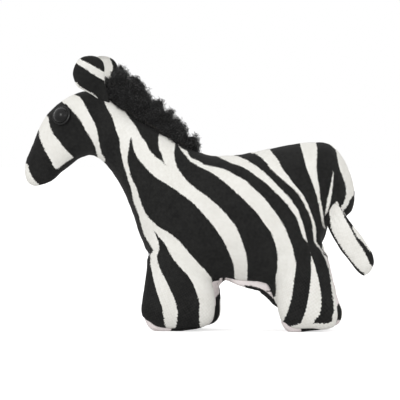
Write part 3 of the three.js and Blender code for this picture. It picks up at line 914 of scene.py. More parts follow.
def drawInSeams(form):
    points, faces, labels, meets = panelsOf(form)
    normals = meshNormals(form)
    onSeam = meets.sum(1) > 1
    slideOnto(points, normals, middleField, meets[:, 0] & meets[:, 1])
    slideOnto(points, normals, underbodyField, (meets[:, 0] | meets[:, 1]) & meets[:, 2:].any(1))
    slideOnto(points, normals, legTopField, meets[:, 2] & meets[:, 3:].any(1))
    pairs = edgePairs(form)
    near = onSeam.copy()
    for _ in range(2):  # two rows of points beside each seam
        near[pairs[near[pairs[:, 0]], 1]] = True
        near[pairs[near[pairs[:, 1]], 0]] = True
    near &= ~onSeam
    for _ in range(skinMesh["easeTurns"]):
        points[near] = eased(points, pairs)[near]

    seamPlace, distance = nearestOf(points[onSeam], points)
    crease = seams["creaseDepth"] * np.exp(-(distance / seams["creaseWidth"]) ** 2)
    wave = seams["puckerHeight"] * noiseAt(seamPlace, seams["puckerLength"])
    pucker = wave * np.exp(-distance / seams["puckerReach"]) * smoothStep(*seams["puckerStart"], distance)
    lift = pucker - crease + seams["lumpHeight"] * noiseAt(points, seams["lumpLength"])
    for centre, radius, depth in dimples:
        gap = np.linalg.norm(points - np.array(centre), axis=1)
        lift -= depth * np.exp(-(gap / radius) ** 2)
    ridge, beside = seams["foldRidge"]
    for side in (-1, 1):
        plan = sidePlan(points, side)
        onSide = smoothStep(0, 4, points[:, 1] * side)
        for corners, width, depth in folds:
            gap = lineDistance(plan, smoothLine(corners, False), False) / width
            lift -= onSide * depth * (np.exp(-gap ** 2) - ridge * np.exp(-(gap - beside) ** 2))
    lift *= smoothStep(0.0, 1.0, points[:, 2])
    points += normals * lift[:, None]
    movePoints(form, np.maximum(points, (-np.inf, -np.inf, 0)))
    return faces, labels, onSeam


faces, labels, onSeam = drawInSeams(form)
print("seams drawn in")


# The print: black shapes on a plan drawn from the side, [across, up]
bodyPrint = {
    "muzzle": [(-91.1, 112.2), (-89.5, 105.1), (-86.7, 99), (-84, 94.1), (-80.7, 88.6), (-76.3, 91.4),
        (-72.4, 94), (-70.2, 94.8), (-66.4, 91.6), (-70.8, 86.4), (-76.8, 81.4), (-82.9, 77), (-88.4, 76.5),
        (-89.5, 79.5), (-91.1, 80.9), (-93.3, 83.6), (-95.5, 87.5), (-96.6, 91.3), (-101.6, 91.9), (-100.5, 99),
        (-96.1, 106.7)],
    "eyePatch": [(-87.3, 119.9), (-85.1, 117.2), (-84.5, 113.9), (-83.4, 110.6), (-81.8, 107.3), (-78.5, 103.4),
        (-75.2, 99), (-72.4, 96.3), (-70.2, 93.5), (-69.1, 89.1), (-63.6, 90.2), (-57.6, 90.2), (-58.1, 96.3),
        (-59.2, 100.7), (-61.4, 105.1), (-64.7, 110.6), (-67.5, 115.5), (-70.2, 118.8), (-73, 122.1),
        (-75.2, 124.3), (-77.4, 125.4), (-79.6, 129.8), (-84.5, 126)],
    "cheek": [(-73, 134.2), (-70.8, 129.8), (-68.6, 128.7), (-66.4, 126.5), (-63.6, 121.6), (-60.9, 116.1),
        (-58.7, 111.7), (-57.6, 106.7), (-57, 102.9), (-55.9, 97.9), (-53.7, 93), (-58.1, 89.7), (-55.4, 84.7),
        (-52.1, 79.2), (-49.3, 74.8), (-47.1, 69.9), (-44.9, 64.9), (-42.7, 60), (-40.5, 54.5), (-38.9, 49.5),
        (-37.2, 44.6), (-35, 39.6), (-31.2, 38.5), (-29, 41.5), (-27.3, 43.5), (-28.4, 45.7), (-30.6, 49.5),
        (-32.3, 52.8), (-33.9, 57.8), (-35.6, 64.4), (-37.8, 69.9), (-39.4, 77.6), (-41.1, 83.1), (-43.3, 90.2),
        (-44.9, 96.8), (-45.5, 101.2), (-46, 105.6), (-47.7, 110), (-49.3, 115.5), (-51, 119.4), (-53.2, 123.2),
        (-54.3, 126.5), (-55.4, 132), (-59.8, 137.5), (-67.5, 138.6)],
    "neckWedge": [(-42.2, 121), (-39.4, 115.5), (-36.7, 111.7), (-33.9, 106.7), (-31.2, 102.9), (-29, 98.5),
        (-25.7, 95.2), (-23.5, 93.5), (-20.2, 90.5), (-21.8, 93.5), (-22.4, 96.8), (-24, 99.6), (-24.3, 104),
        (-24, 107.8), (-21.8, 113.3), (-30.1, 122.1)],
    "shoulder": [(-39.4, 106.2), (-40.3, 102.3), (-41.1, 97.9), (-41.4, 93.5), (-40.5, 88.6), (-39.4, 84.2),
        (-37.2, 79.8), (-35.6, 75.4), (-34.5, 71.5), (-32.8, 67.1), (-31.2, 63.8), (-29, 61.1), (-26.2, 58.3),
        (-22.9, 55.8), (-19.6, 54.2), (-16.3, 51.7), (-12.5, 48.4), (-7, 41.8), (-1.5, 35.8), (4, 29.7),
        (5.1, 27), (5.7, 24.2), (6.8, 22), (11.7, 17.6), (18.3, 19.8), (17.5, 29.2), (17.2, 34.7), (16.1, 38.5),
        (14.5, 42.4), (12.8, 46.2), (10.6, 50.6), (7.9, 54.5), (4.6, 58.9), (1.3, 62.7), (-2, 66.6),
        (-5.9, 70.4), (-10.3, 73.7), (-14.7, 77), (-19.1, 79.8), (-23.5, 82.5), (-27.3, 85.2), (-31.2, 89.1),
        (-34.5, 93), (-36.7, 96.3), (-38.3, 100.7)],
    "flank": [(-15, 105.6), (-15.2, 101.8), (-15.8, 97.4), (-15.2, 93), (-13.6, 88.6), (-10.8, 84.7),
        (-8.1, 81.4), (-4.2, 78.1), (-0.4, 75.4), (4, 72.1), (7.9, 68.8), (12.3, 64.4), (15.6, 60.5),
        (18.3, 56.7), (20.5, 51.7), (22.2, 46.8), (23.8, 42.4), (24.4, 38), (24.6, 33), (24.4, 28.6),
        (23.8, 19.8), (32.6, 16.5), (39.8, 18.7), (40, 28.6), (40.9, 32.5), (41.1, 36.9), (41.1, 41.2),
        (40.3, 46.2), (38.7, 50.6), (37, 54.5), (33.7, 58.9), (30.4, 63.8), (27.1, 67.1), (23.3, 71),
        (19.4, 74.8), (15, 78.7), (10.6, 82.5), (6.8, 85.2), (2.9, 87.5), (-1.5, 89.7), (-4.8, 91.6),
        (-7.5, 93.5), (-9.7, 96.3), (-11.9, 99), (-13.6, 102.3)],
    "saddle": [(-13.6, 104), (-12.5, 100.7), (-8.6, 98.5), (-7, 95.2), (-3.1, 93.5), (0.7, 91), (4, 90.2),
        (9.5, 89.1), (13.9, 87.5), (18.9, 84.7), (23.8, 82), (27.1, 78.7), (31.5, 74.8), (34.8, 71.5),
        (38.1, 67.1), (42, 61.6), (45.3, 56.1), (47.5, 50.6), (49.1, 46.2), (50.2, 41.2), (51.3, 36.9),
        (50.8, 31.4), (49.9, 24.8), (48.6, 16.5), (46.9, 10.5), (44.2, 4.4), (42.5, -3.3), (53.5, -3.3),
        (54.3, 4.4), (56.3, 9.4), (57.9, 16.5), (59, 24.8), (59.6, 31.4), (59.6, 37.4), (59.6, 42.4),
        (57.9, 47.3), (55.2, 51.2), (53.5, 56.1), (51.9, 61.1), (48.6, 66), (45.8, 69.9), (42.5, 73.2),
        (38.7, 77), (34.8, 80.9), (29.3, 84.7), (24.9, 88), (20.5, 90.2), (15, 92.1), (10.6, 94.3), (6.8, 96.3),
        (1.8, 101.2), (-5.9, 104.5)],
    "hipLine": [(13.9, 100.7), (16.7, 96.5), (20.5, 95.2), (24.9, 93), (29.3, 90.2), (33.7, 86.9), (37, 83.6),
        (39.8, 80.9), (43.6, 77), (46.9, 73.7), (49.7, 69.9), (52.4, 66), (54.1, 61.1), (55.7, 56.1),
        (56.8, 51.7), (57.9, 47.3), (59, 42.4), (60.7, 38.5), (62.3, 33), (64, 26.4), (65.1, 19.2),
        (65.1, 13.2), (64, 8.2), (61.2, 4.4), (60.1, -3.3), (72.2, -2.2), (71.1, 5.5), (72.2, 10.5),
        (71.7, 16.5), (70.6, 25.3), (70, 30.3), (68.9, 34.7), (67.3, 39.1), (65.6, 42.4), (64.5, 44.6),
        (62.9, 46.2), (61.2, 49), (60.7, 53.4), (60.1, 58.3), (59, 62.7), (56.8, 67.1), (54.6, 71.5),
        (51.9, 75.4), (48, 79.2), (44.2, 82.5), (40.3, 85.8), (37, 89.1), (34.8, 92.4), (32.6, 94.6),
        (29.3, 96.8), (26, 97.9), (23.8, 103.4)],
    "croup": [(33.7, 106.7), (36.5, 100.1), (38.7, 96.8), (41.4, 93.5), (43.6, 89.1), (46.9, 84.7),
        (49.7, 80.9), (53, 77), (55.7, 73.2), (57.9, 68.8), (59.6, 64.4), (61.2, 60), (62.3, 55.6),
        (62.3, 51.2), (62.9, 47.9), (64.5, 45.7), (67.3, 42.9), (68.4, 40.2), (70, 36.3), (74.4, 37.4),
        (72.2, 44), (70, 49.5), (69.6, 54.6), (66.5, 56.4), (65.1, 61.8), (64, 68.2), (62.9, 73.2),
        (61.2, 78.7), (59, 84.2), (56.8, 90.2), (55.2, 96.3), (53.5, 102.9), (53, 110)],
    "rump": [(61.8, 110), (62.3, 103.4), (62.9, 97.9), (62.6, 91.9), (62.9, 85.2), (64, 79.2), (64.5, 73.7),
        (65.5, 67.7), (66.5, 61.8), (67.1, 57.2), (68.8, 55.4), (73.3, 60.5), (76.1, 67.7), (77.2, 69.3),
        (78.8, 74.2), (78.8, 78.7), (77.7, 82.5), (75.5, 88), (74.4, 93), (73.3, 99), (72.2, 102.9),
        (74.4, 110)],
    "rumpEdge": [(83.2, 74.2), (81, 71.5), (79.9, 68.8), (77.2, 65.5), (78.3, 63.8), (78.8, 60.5), (79.4, 52),
        (90, 50), (90, 64.9), (87.6, 74.8)],
    "legFront": [(-30.5, 42.5), (-29, 41.7), (-28.8, 39.1), (-28.8, 36.1), (-27.8, 31.4), (-26.6, 26),
        (-24.7, 19.5), (-22.5, 12.7), (-21.5, 7.7), (-21, 3.3), (-19.6, -3.9), (-34.5, -3.9), (-42.2, 4.4),
        (-40, 16.5), (-37.8, 27.5), (-35.6, 40.2)],
    "legMiddle": [(-26.8, 54.5), (-24.6, 49), (-24, 44.6), (-25.1, 40.7), (-24.6, 36.9), (-22.9, 32.5),
        (-20.2, 27), (-17.4, 21.5), (-15.2, 16), (-13.9, 9.9), (-14.1, 5), (-14.7, -3.3), (-1.5, -3.3), (-2, 5),
        (-1.8, 11), (-2, 16), (-3.7, 21.5), (-5.9, 26.4), (-8.6, 30.3), (-12.5, 34.7), (-15.8, 38.5),
        (-18.5, 42.9), (-20.7, 47.3), (-23.5, 50.6)],
}
bodyBare = {
    "rumpSlit": [(71.9, 87.5), (70.6, 80.9), (69.5, 75.9), (68.5, 71.5), (67.3, 63.8), (68.4, 63.3), (70, 69.9),
        (71, 75.4), (71.7, 80.3)],
    # a painted highlight: a small fleck left white in the black, just above the tail's root
    "paintedHighlightFleck": [(73.1, 70.6), (74.1, 70.3), (74.9, 68.9), (74.1, 68.3), (73.2, 69.5)],
    "hindSole": [(45, 0.6), (49, 2.2), (54, 3.7), (60, 3.8), (67, 3.6), (70.5, 4.3), (72.6, 6.6), (76, 6.6),
        (76, -5), (45, -5)],
}
rightBare = {
    "hipEnd": [(66.5, 39.5), (70, 41.5), (77, 42), (77, 34), (66.5, 34)],
}
earPrint = {
    "cap": [(-69.7, 151.8), (-66.9, 148.9), (-63.6, 147.1), (-60.3, 145.2), (-57, 143.6), (-53.5, 141.6),
        (-49.9, 143), (-51, 150.7), (-57.6, 155.1), (-65.3, 155.1)],
    "bowl": [(-73, 147.4), (-68.6, 146.1), (-65.3, 144.1), (-60.3, 140.8), (-54.3, 137.2), (-49.9, 135.3),
        (-49.9, 124.3), (-56.5, 126), (-58.7, 128.7), (-61.4, 130.6), (-64.7, 132.3), (-67.5, 133.9),
        (-69.7, 136.4), (-73, 135.3), (-76.3, 139.7)],
}
farEarPrint = {
    "edge": [(-50.8, 150.4), (-49.8, 146.3), (-49.5, 143), (-50.5, 139.7), (-45.5, 137.5), (-44.4, 148.5)],
}
tailPrint = {
    "near": [(62.3, 63.8), (65.6, 68.2), (69.1, 68.5), (69.6, 65.5), (70, 62.2), (70.7, 55.7), (73.5, 50.1),
        (77.6, 43.6), (82.4, 37.2), (86.4, 32.8), (89, 30.5), (86.5, 25.3), (78.3, 31.9), (67.3, 44),
        (61.2, 56.1)],
    "far": [(72.5, 72.3), (74.6, 69.2), (76.8, 65.1), (78.4, 60.9), (81.2, 56.1), (82.9, 52.5), (84.8, 49.3),
        (88.4, 43.6), (90.6, 39.6), (92.1, 36.1), (94.2, 35.2), (97, 38.5), (94.8, 42.6), (92, 43.3),
        (90, 45.7), (87.2, 49.2), (85.3, 51), (83.3, 54.2), (82.2, 56.3), (82.9, 57), (84.9, 55.1),
        (86.7, 52.9), (88.5, 53.6), (84.9, 59.4), (81, 67.1), (77.7, 74.8)],
}
farLegPrint = {
    "wave": [(2.9, 16.5), (6.2, 17.1), (9.5, 20.9), (11.7, 25.3), (16.1, 22), (16.1, 0), (2.9, 0)],
    "line": [(11.2, 33), (10.9, 28.1), (10.1, 24.2), (11.2, 24.2), (12.5, 28.1), (13.4, 33)],
}
cornerPrint = {  # where the gusset turns down behind the front leg
    "leg": [(5, 32), (5.6, 22), (6.9, 23.5), (8, 25.6), (9.2, 27.9), (9.6, 32)],
    "line": [(11.1, 29.4), (12.5, 29.4), (12.1, 27), (11.4, 24.5), (10.6, 23.1), (10.2, 23.9), (10.7, 26.4)],
}
beltPrint = {  # along the gusset's lower edge, widening towards the hind leg
    "belt": [(22.5, 24.7), (26, 24.4), (30, 23.5), (33.5, 22), (36.5, 19.8), (38.8, 17.6), (41.5, 16.6),
        (41.5, 11), (38.2, 12.6), (35.4, 15.6), (32, 18.4), (28, 21), (24.6, 22.6)],
}
earLiningPrint = {
    "tip": [(-70, 152), (-66, 146), (-58, 143), (-50, 146), (-48, 156)],
    "root": [(-66, 137), (-58, 134), (-50, 136), (-48, 124), (-68, 124)],
}
tailBackPrint = {
    "upper": [(64, 66), (72, 62), (79, 60), (90, 60), (90, 52), (82, 53.5), (74, 56), (64, 60)],
    "middle": [(66, 52), (76, 50), (84, 48), (98, 49), (98, 43), (88, 42.5), (80, 43.5), (70, 46)],
    "lower": [(72, 40), (82, 38.5), (90, 36), (99, 37), (99, 31), (91, 30.5), (83, 33), (74, 34)],
}
gussetPrint = {  # seen from below: [along, across]
    "chest": [(-36, 13), (-28, 13), (-22, 4), (-18, -4), (-16, -14), (-24, -14), (-28, -3), (-33, 5)],
    "front": [(-13, 14), (-6, 14), (-1, 5), (4, -3), (5, -14), (-3, -14), (-5, -4), (-9, 4)],
    "belly": [(9, 14), (15, 14), (20, 6), (25, 3.5), (34, 4.5), (44, 5), (46, -10.4), (40, -9.9), (34, -9.2),
        (29, -8.2), (24, -6.4), (20, -2.5), (14, 5)],
    "hind": [(34, 14), (42, 14), (47, 6), (52, -2), (56, -7), (57, -14), (51, -13), (47, -7), (42, 1), (37, 8)],
    "rump": [(56, 14), (66, 14), (70, 5), (76, -0.4), (84, -0.4), (82, -1.6), (72, -1.6), (64, 1), (59, 7)],
}
frontInnerPrint = {  # [along, up]
    "toe": [(-15.5, -4), (-15, 2), (-17, 6), (-23, 9.5), (-30, 11), (-38, 11.5), (-39, 18.5), (-30, 17),
        (-22, 16), (-14, 13.5), (-8, 10), (-3, 6), (2, 3), (3.5, -4)],
    "knee": [(-40, 29), (-32, 27.5), (-24, 25), (-15, 22), (-7, 18), (1, 14.5), (12, 13), (12, 7), (3, 8),
        (-6, 12), (-14, 17), (-22, 20.5), (-30, 22.5), (-39, 23)],
}
hindInnerPrint = {
    "toe": [(56.5, -4), (56, 2), (51, 6), (45, 9.5), (38, 11), (38, 18), (46, 16), (54, 12), (60, 8), (66, 4),
        (67.5, -4)],
    "heel": [(40, 26), (48, 24), (56, 21), (64, 17.5), (71, 14.4), (81, 13.6), (81, 4), (72, 6.5), (64, 10.5),
        (56, 15), (48, 19), (40, 21)],
}


warp = {  # the right side is cut from another stretch of the same cloth
    "start": (-80, -40),  # over this run behind the nose it sets in
    "along": (3.4, 2.2, 15, 0.6),  # shift, swing, length and phase
    "up": (1.8, 19, 1.0),
}


def warpedPlan(plan):
    across, up = plan.T
    hold = smoothStep(*warp["start"], across)
    shift, swing, length, phase = warp["along"]
    rise, riseLength, risePhase = warp["up"]
    return np.stack([across + hold * (shift + swing * np.sin(up / length + phase)),
                     up + hold * rise * np.sin(across / riseLength + risePhase)], 1)


def panelInk(points, label):
    side, along = sidePlan(points), points[:, [0, 2]]
    if label == 0:
        return inkField(side, bodyPrint.values(), bodyBare.values())
    if label == 1:
        bare = [*bodyBare.values(), *rightBare.values()]
        return inkField(warpedPlan(sidePlan(points, 1)), bodyPrint.values(), bare)
    if label == 2:
        return np.maximum(inkField(points[:, :2], gussetPrint.values()),
                          inkField(side, [*cornerPrint.values(), *beltPrint.values()]))
    ink = inkField(along, (frontInnerPrint if label < 5 else hindInnerPrint).values())
    if label == 3:
        return ink
    return np.maximum(ink, inkField(side, (farLegPrint if label == 4 else beltPrint).values()))


def addNumbers(obj, name, values):
    layer = obj.data.attributes.new(name, "FLOAT", "POINT")
    layer.data.foreach_set("value", np.asarray(values, np.float32))


def planInk(obj, shapes):  # prints a small piece as the side view shows it
    return inkField(sidePlan(meshPoints(obj)), shapes.values())


def unwrapCloth(obj):  # the panel laid flat, in millimetres, so that the threads run true
    obj.data.uv_layers.new(name="clothMap")
    bpy.context.view_layer.objects.active = obj
    for other in bpy.context.selected_objects:
        other.select_set(False)
    obj.select_set(True)
    bpy.ops.object.mode_set(mode="EDIT")
    bpy.ops.mesh.select_all(action="SELECT")
    bpy.ops.uv.unwrap(method="CONFORMAL", margin=0)
    bpy.ops.object.mode_set(mode="OBJECT")
    obj.select_set(False)
    layer = obj.data.uv_layers["clothMap"].data
    uv = readValues(layer, "uv", 2)
    real, laid = (np.linalg.norm(rows[1:] - rows[:-1], axis=1) for rows in (cornerPoints(obj), uv))
    shortest, longest = 0.2, 2.5  # steps along one face
    near = (real > shortest) & (real < longest)
    scale = np.median(real[near] / np.maximum(laid[near], 1e-9))
    layer.foreach_set("uv", (uv * scale).ravel())


def planarCloth(obj, first, second):  # a flat lay of the cloth along two directions, in millimetres
    layer = obj.data.uv_layers.new(name="clothMap").data
    layer.foreach_set("uv", (cornerPoints(obj) @ np.stack([first, second], 1)).ravel())


def cutPanel(name, label):
    chosen = [face for face, own in zip(faces, labels) if own == label]
    used = sorted({corner for face in chosen for corner in face})
    order = {corner: place for place, corner in enumerate(used)}
    own = meshPoints(form)[used]
    panel = meshObject(name, own, [tuple(order[corner] for corner in face) for face in chosen])
    addNumbers(panel, "ink", panelInk(own, label))
    inward = spread(own, edgePairs(panel)) - own
    size = np.linalg.norm(inward, axis=1, keepdims=True)
    edge = onSeam[used]
    own[edge] += (inward / np.maximum(size, 1e-9) * seams["parting"])[edge]
    movePoints(panel, own)
    unwrapCloth(panel)
    wall = panel.modifiers.new("cloth", "SOLIDIFY")
    wall.thickness = seams["clothThickness"] * mm
    wall.offset = -1
    bakeModifiers(panel)
    panel.data.materials.clear()
    panel.data.materials.append(bodyCotton if label < 2 else underCotton)
    shadeSmooth(panel)
    return panel


skin = BVHTree.FromPolygons((meshPoints(form)).tolist(), faces)
for label, (name, node) in enumerate(panels.items()):
    panel = cutPanel(name, label)
    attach(panel, "toy_body")
    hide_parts(node)
print("panels cut and printed")


# Stuffing: a wad of fibre in each part, held back behind the cover

stuffing = {
    "headStuffing": "head_filling",
    "neckStuffing": "neck_filling",
    "bodyStuffing": "body_filling",
    "frontLeftStuffing": "front_left_leg_filling",
    "frontRightStuffing": "front_right_leg_filling",
    "hindLeftStuffing": "hind_left_leg_filling",
    "hindRightStuffing": "hind_right_leg_filling",
}
wad = {
    "edge": 3.5,  # longer edges are divided, up to this many times
    "divisions": 3,
    "weld": 0.002,
    "fuzz": 0.18,
    "fuzzLength": 2.4,
    "behindCover": 0.72,
}
closing = {"reach": (13, 33), "steps": 24}  # from one x to another, where the filled toy was sewn shut


def looseCopy(node, name):  # a finer copy of a plain solid, to be shaped
    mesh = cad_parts[node].data.copy()
    with meshWork(mesh) as work:
        bmesh.ops.remove_doubles(work, verts=work.verts, dist=wad["weld"] * mm)
        for _ in range(wad["divisions"]):
            long = [edge for edge in work.edges if edge.calc_length() > wad["edge"] * mm]
            if long:
                bmesh.ops.subdivide_edges(work, edges=long, cuts=1, use_grid_fill=False)
                bmesh.ops.triangulate(work, faces=[face for face in work.faces if len(face.verts) > 3])
    mesh.materials.clear()
    obj = bpy.data.objects.new(name, mesh)
    scene.collection.objects.link(obj)
    return obj


def keepBehind(points, depth, cover):  # holds points at least this far behind the cover's outer face
    nearest, normals = nearestOn(cover, points)
    short = depth - ((nearest - points) * normals).sum(1)
    return points - normals * np.maximum(short, 0)[:, None]


def closingPath():  # the seam of the right side panel and the gusset
    points = meshPoints(form)
    meets = seamCorners(faces, labels, len(points))
    x = points[:, 0]
    low, high = closing["reach"]
    chosen = points[meets[:, 1] & meets[:, 2] & (x > low) & (x < high)]
    order = chosen[np.argsort(chosen[:, 0])]
    stations = np.linspace(low, high, closing["steps"])
    return np.stack([stations] + [np.interp(stations, order[:, 0], order[:, axis]) for axis in (1, 2)], 1)


for name, node in stuffing.items():
    clump = looseCopy(node, name)
    points = meshPoints(clump)
    sunk = wad["fuzz"] * (noiseAt(points, wad["fuzzLength"]) - 1)
    movePoints(clump, keepBehind(points + meshNormals(clump) * sunk[:, None], wad["behindCover"], skin))
    clump.data.materials.append(wadding)
    shadeSmooth(clump)
    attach(clump, "toy_body")
    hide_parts(node)
closingPlaces = closingPath()
dropObject(form)
print("stuffing made")


# Eyes: domed plastic on a shank, with a rolled rim

eye = {
    "diameter": 10.9,
    "rise": 3.7,
    "rim": 0.85,  # top of the rolled rim
    "rimRoll": 0.48,
    "rimLift": 0.2,
    "rimSteps": 8,
    "seat": (2.1, 0.08),  # the dome starts this many rolls in from the edge, and this far over the roll's middle
    "domeSteps": 14,
    "back": (0.6, -0.9),  # the flat back: how far inside the edge it starts, and its height
    "shank": 3.0,
    "shankFoot": (0.4, 0.3),  # how far the shank spreads where it meets the back
    "shankEnd": 7.3,
    "shankBevel": 0.3,
    "sides": 64,
    "place": (-76.62, 12.37, 117.93),
    "outward": (-0.3350, 0.8994, 0.2809),
}


def eyeProfile():  # [radius, height] from the shank's end to the top of the dome
    radius, shank, end, bevel = eye["diameter"] / 2, eye["shank"] / 2, -eye["shankEnd"], eye["shankBevel"]
    roll, (inset, back) = eye["rimRoll"], eye["back"]
    spreadOut, footHeight = eye["shankFoot"]
    rows = [(shank - bevel, end), (shank, end + bevel), (shank, back - footHeight), (shank + spreadOut, back),
            (radius - inset, back)]
    for angle in np.linspace(-math.pi / 2, math.pi / 2, eye["rimSteps"] + 1):
        rows.append((radius - roll + roll * math.cos(angle),
                     roll * math.sin(angle) + eye["rim"] - 2 * roll + eye["rimLift"]))
    rolls, lift = eye["seat"]
    dome, low = radius - rolls * roll, eye["rim"] - roll + lift
    for angle in np.linspace(0, math.pi / 2, eye["domeSteps"], endpoint=False):
        rows.append((dome * math.cos(angle), low + (eye["rise"] - low) * math.sin(angle)))
    return rows, ((0, 0, end), (0, 0, eye["rise"]))


def placeOf(side):
    x, y, z = eye["place"]
    out = Vector((eye["outward"][0], side * eye["outward"][1], eye["outward"][2])).normalized()
    turn = Vector((0, 0, 1)).rotation_difference(out).to_matrix().to_4x4()
    return Matrix.Translation(Vector((x, side * y, z))) @ turn


def spunEye(name, side):
    rows, hubs = eyeProfile()
    angle = np.linspace(0, 2 * math.pi, eye["sides"], endpoint=False)
    matrix = placeOf(side)
    rings = [[matrix @ Vector((r * math.cos(a), r * math.sin(a), h)) for a in angle] for r, h in rows]
    return closedLoft(name, rings, [matrix @ Vector(hub) for hub in hubs])


for side, name, node in ((-1, "leftEye", "left_eye"), (1, "rightEye", "right_eye")):
    dome = spunEye(name, side)
    dome.data.materials.append(eyePlastic)
    shadeSmooth(dome)
    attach(dome, "toy_body")
    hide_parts(node)
for node in ("left_eye_washer", "right_eye_washer"):
    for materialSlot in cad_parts[node].material_slots:
        materialSlot.material = washerPlastic
print("eyes set")


# Ears: two leaves of cloth each, sewn round the edge and turned

ear = {
    "height": 22.6,
    "width": 17.6,
    "cup": 3.4,
    "cupRise": (-0.05, 0.45),  # over this share of the height the cup grows
    "leaf": 0.75,
    "innerLeaf": 0.02,  # where the leaf's inner face lies, a share of the outer one's offset
    "plump": 0.8,  # the leaves bulge this much between their seams
    "gap": 0.1,
    "sunk": 0.35,  # the base is sewn this far into the head
    "search": (0.4, -0.28, 0.01),  # levels at which the base is looked for, and the step between them
    "tip": 0.997,
    "leastHalf": 0.05,  # half width at the tip
    "easeTurns": 4,
    "weld": 0.004,
    "bend": (-1.5, 4.0),  # up the ear, from one height to another
    # [height, front edge, rear edge], shares of height and width; the lower front corner is cut away
    "outline": [
        (-0.3, 0.1, 0.47), (-0.08, 0.1, 0.46), (0.075, -0.09, 0.45), (0.2, -0.31, 0.43), (0.3, -0.44, 0.43),
        (0.48, -0.5, 0.46), (0.64, -0.5, 0.5), (0.8, -0.41, 0.48), (0.92, -0.28, 0.36), (0.98, -0.14, 0.2),
        (1, 0.01, 0.04),
    ],
    "rows": 34,
    "columns": 30,
    # the foot of each ear, and its own axes: along the head, across and up
    "left": ((-59.58, -8.52, 128.97), (0.9903, 0, 0.1392), (-0.0384, 0.9613, 0.2730), (-0.1338, -0.2756, 0.9519)),
    "right": ((-59.58, 8.52, 128.97), (0.9945, 0, -0.1045), (-0.0288, 0.9613, -0.2741), (0.1005, 0.2756, 0.9560)),
}
earEdges = smoothRows(ear["outline"], np.linspace(0, 1, 300)).T


def earSurface(across, level, offset, side):  # a point of the leaf in the ear's own frame
    front, rear = (float(np.interp(level, earEdges[0], edge)) * ear["width"] for edge in earEdges[1:])
    half = max((rear - front) / 2, ear["leastHalf"])
    cup = ear["cup"] * float(smoothStep(*ear["cupRise"], level))
    bow = cup * (1 - across ** 2) * half / (ear["width"] / 2)
    plump = math.sqrt(max(1 - across ** 2, 0)) * math.sqrt(max(1 - max(level, 0) ** 3, 0))
    depth = bow + offset * (ear["gap"] / 2 + (ear["leaf"] + ear["plump"] * plump) * abs(offset))
    return Vector(((front + rear) / 2 + across * half, side * depth, level * ear["height"]))


def earLeaf(name, which, side, outward):
    origin, *axes = (Vector(row) for row in ear[which])
    matrix = Matrix(axes).transposed()

    def placed(across, level, offset):
        return origin + matrix @ earSurface(across, level, offset, side)

    def footLevel(across):  # the leaf starts a little inside the head
        level, lowest, step = ear["search"]
        while level > lowest:
            point = placed(across, level, outward)
            nearest, normal, _, _ = skin.find_nearest(point)
            if (point - nearest).dot(normal) < -ear["sunk"]:
                break
            level -= step
        return level

    columns, rows = ear["columns"], ear["rows"]
    acrossSteps = np.sin(np.linspace(-math.pi / 2, math.pi / 2, columns))
    lowest = np.array([footLevel(across) for across in acrossSteps])
    for _ in range(ear["easeTurns"]):
        lowest[1:-1] = (lowest[:-2] + 2 * lowest[1:-1] + lowest[2:]) / 4
    points = [placed(across, low + (ear["tip"] - low) * share, face)
              for face in (outward, outward * ear["innerLeaf"])
              for share in np.sin(np.linspace(0, math.pi / 2, rows))
              for low, across in zip(lowest, acrossSteps)]
    sheet = rows * columns
    faces = []
    for row in range(rows - 1):
        for column in range(columns - 1):
            here = row * columns + column
            quad = (here, here + 1, here + columns + 1, here + columns)
            faces += [quad, tuple(corner + sheet for corner in reversed(quad))]
    number = np.arange(sheet).reshape(rows, columns)
    loop = [*number[0], *number[1:, -1], *number[-1, -2::-1], *number[-2:0:-1, 0]]
    for corner, following in zip(loop, loop[1:] + loop[:1]):
        faces.append(tuple(int(place) for place in (corner, corner + sheet, following + sheet, following)))
    obj = meshObject(name, points, faces)
    with meshWork(obj.data) as work:
        bmesh.ops.remove_doubles(work, verts=work.verts, dist=ear["weld"] * mm)
        bmesh.ops.dissolve_degenerate(work, edges=work.edges, dist=ear["weld"] / 2 * mm)
        bmesh.ops.recalc_face_normals(work, faces=work.faces)
    return obj


for which, side, outward, name, node, shapes in (
    ("left", -1, 1, "leftEarOuter", "left_ear_outer", earPrint),
    ("left", -1, -1, "leftEarLining", "left_ear_lining", earLiningPrint),
    ("right", 1, 1, "rightEarOuter", "right_ear_outer", earPrint),
    ("right", 1, -1, "rightEarLining", "right_ear_lining", farEarPrint),
):
    leaf = earLeaf(name, which, side, outward)
    addNumbers(leaf, "ink", planInk(leaf, shapes))
    base, along, _, up = (np.array(row) for row in ear[which])
    planarCloth(leaf, along, up)
    leaf.data.materials.append(bodyCotton)
    shadeSmooth(leaf)
    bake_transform(leaf)
    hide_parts(node)
print("ears sewn")


# Tail: a stuffed tube of cloth, gathered flat at its top and turned in at its end

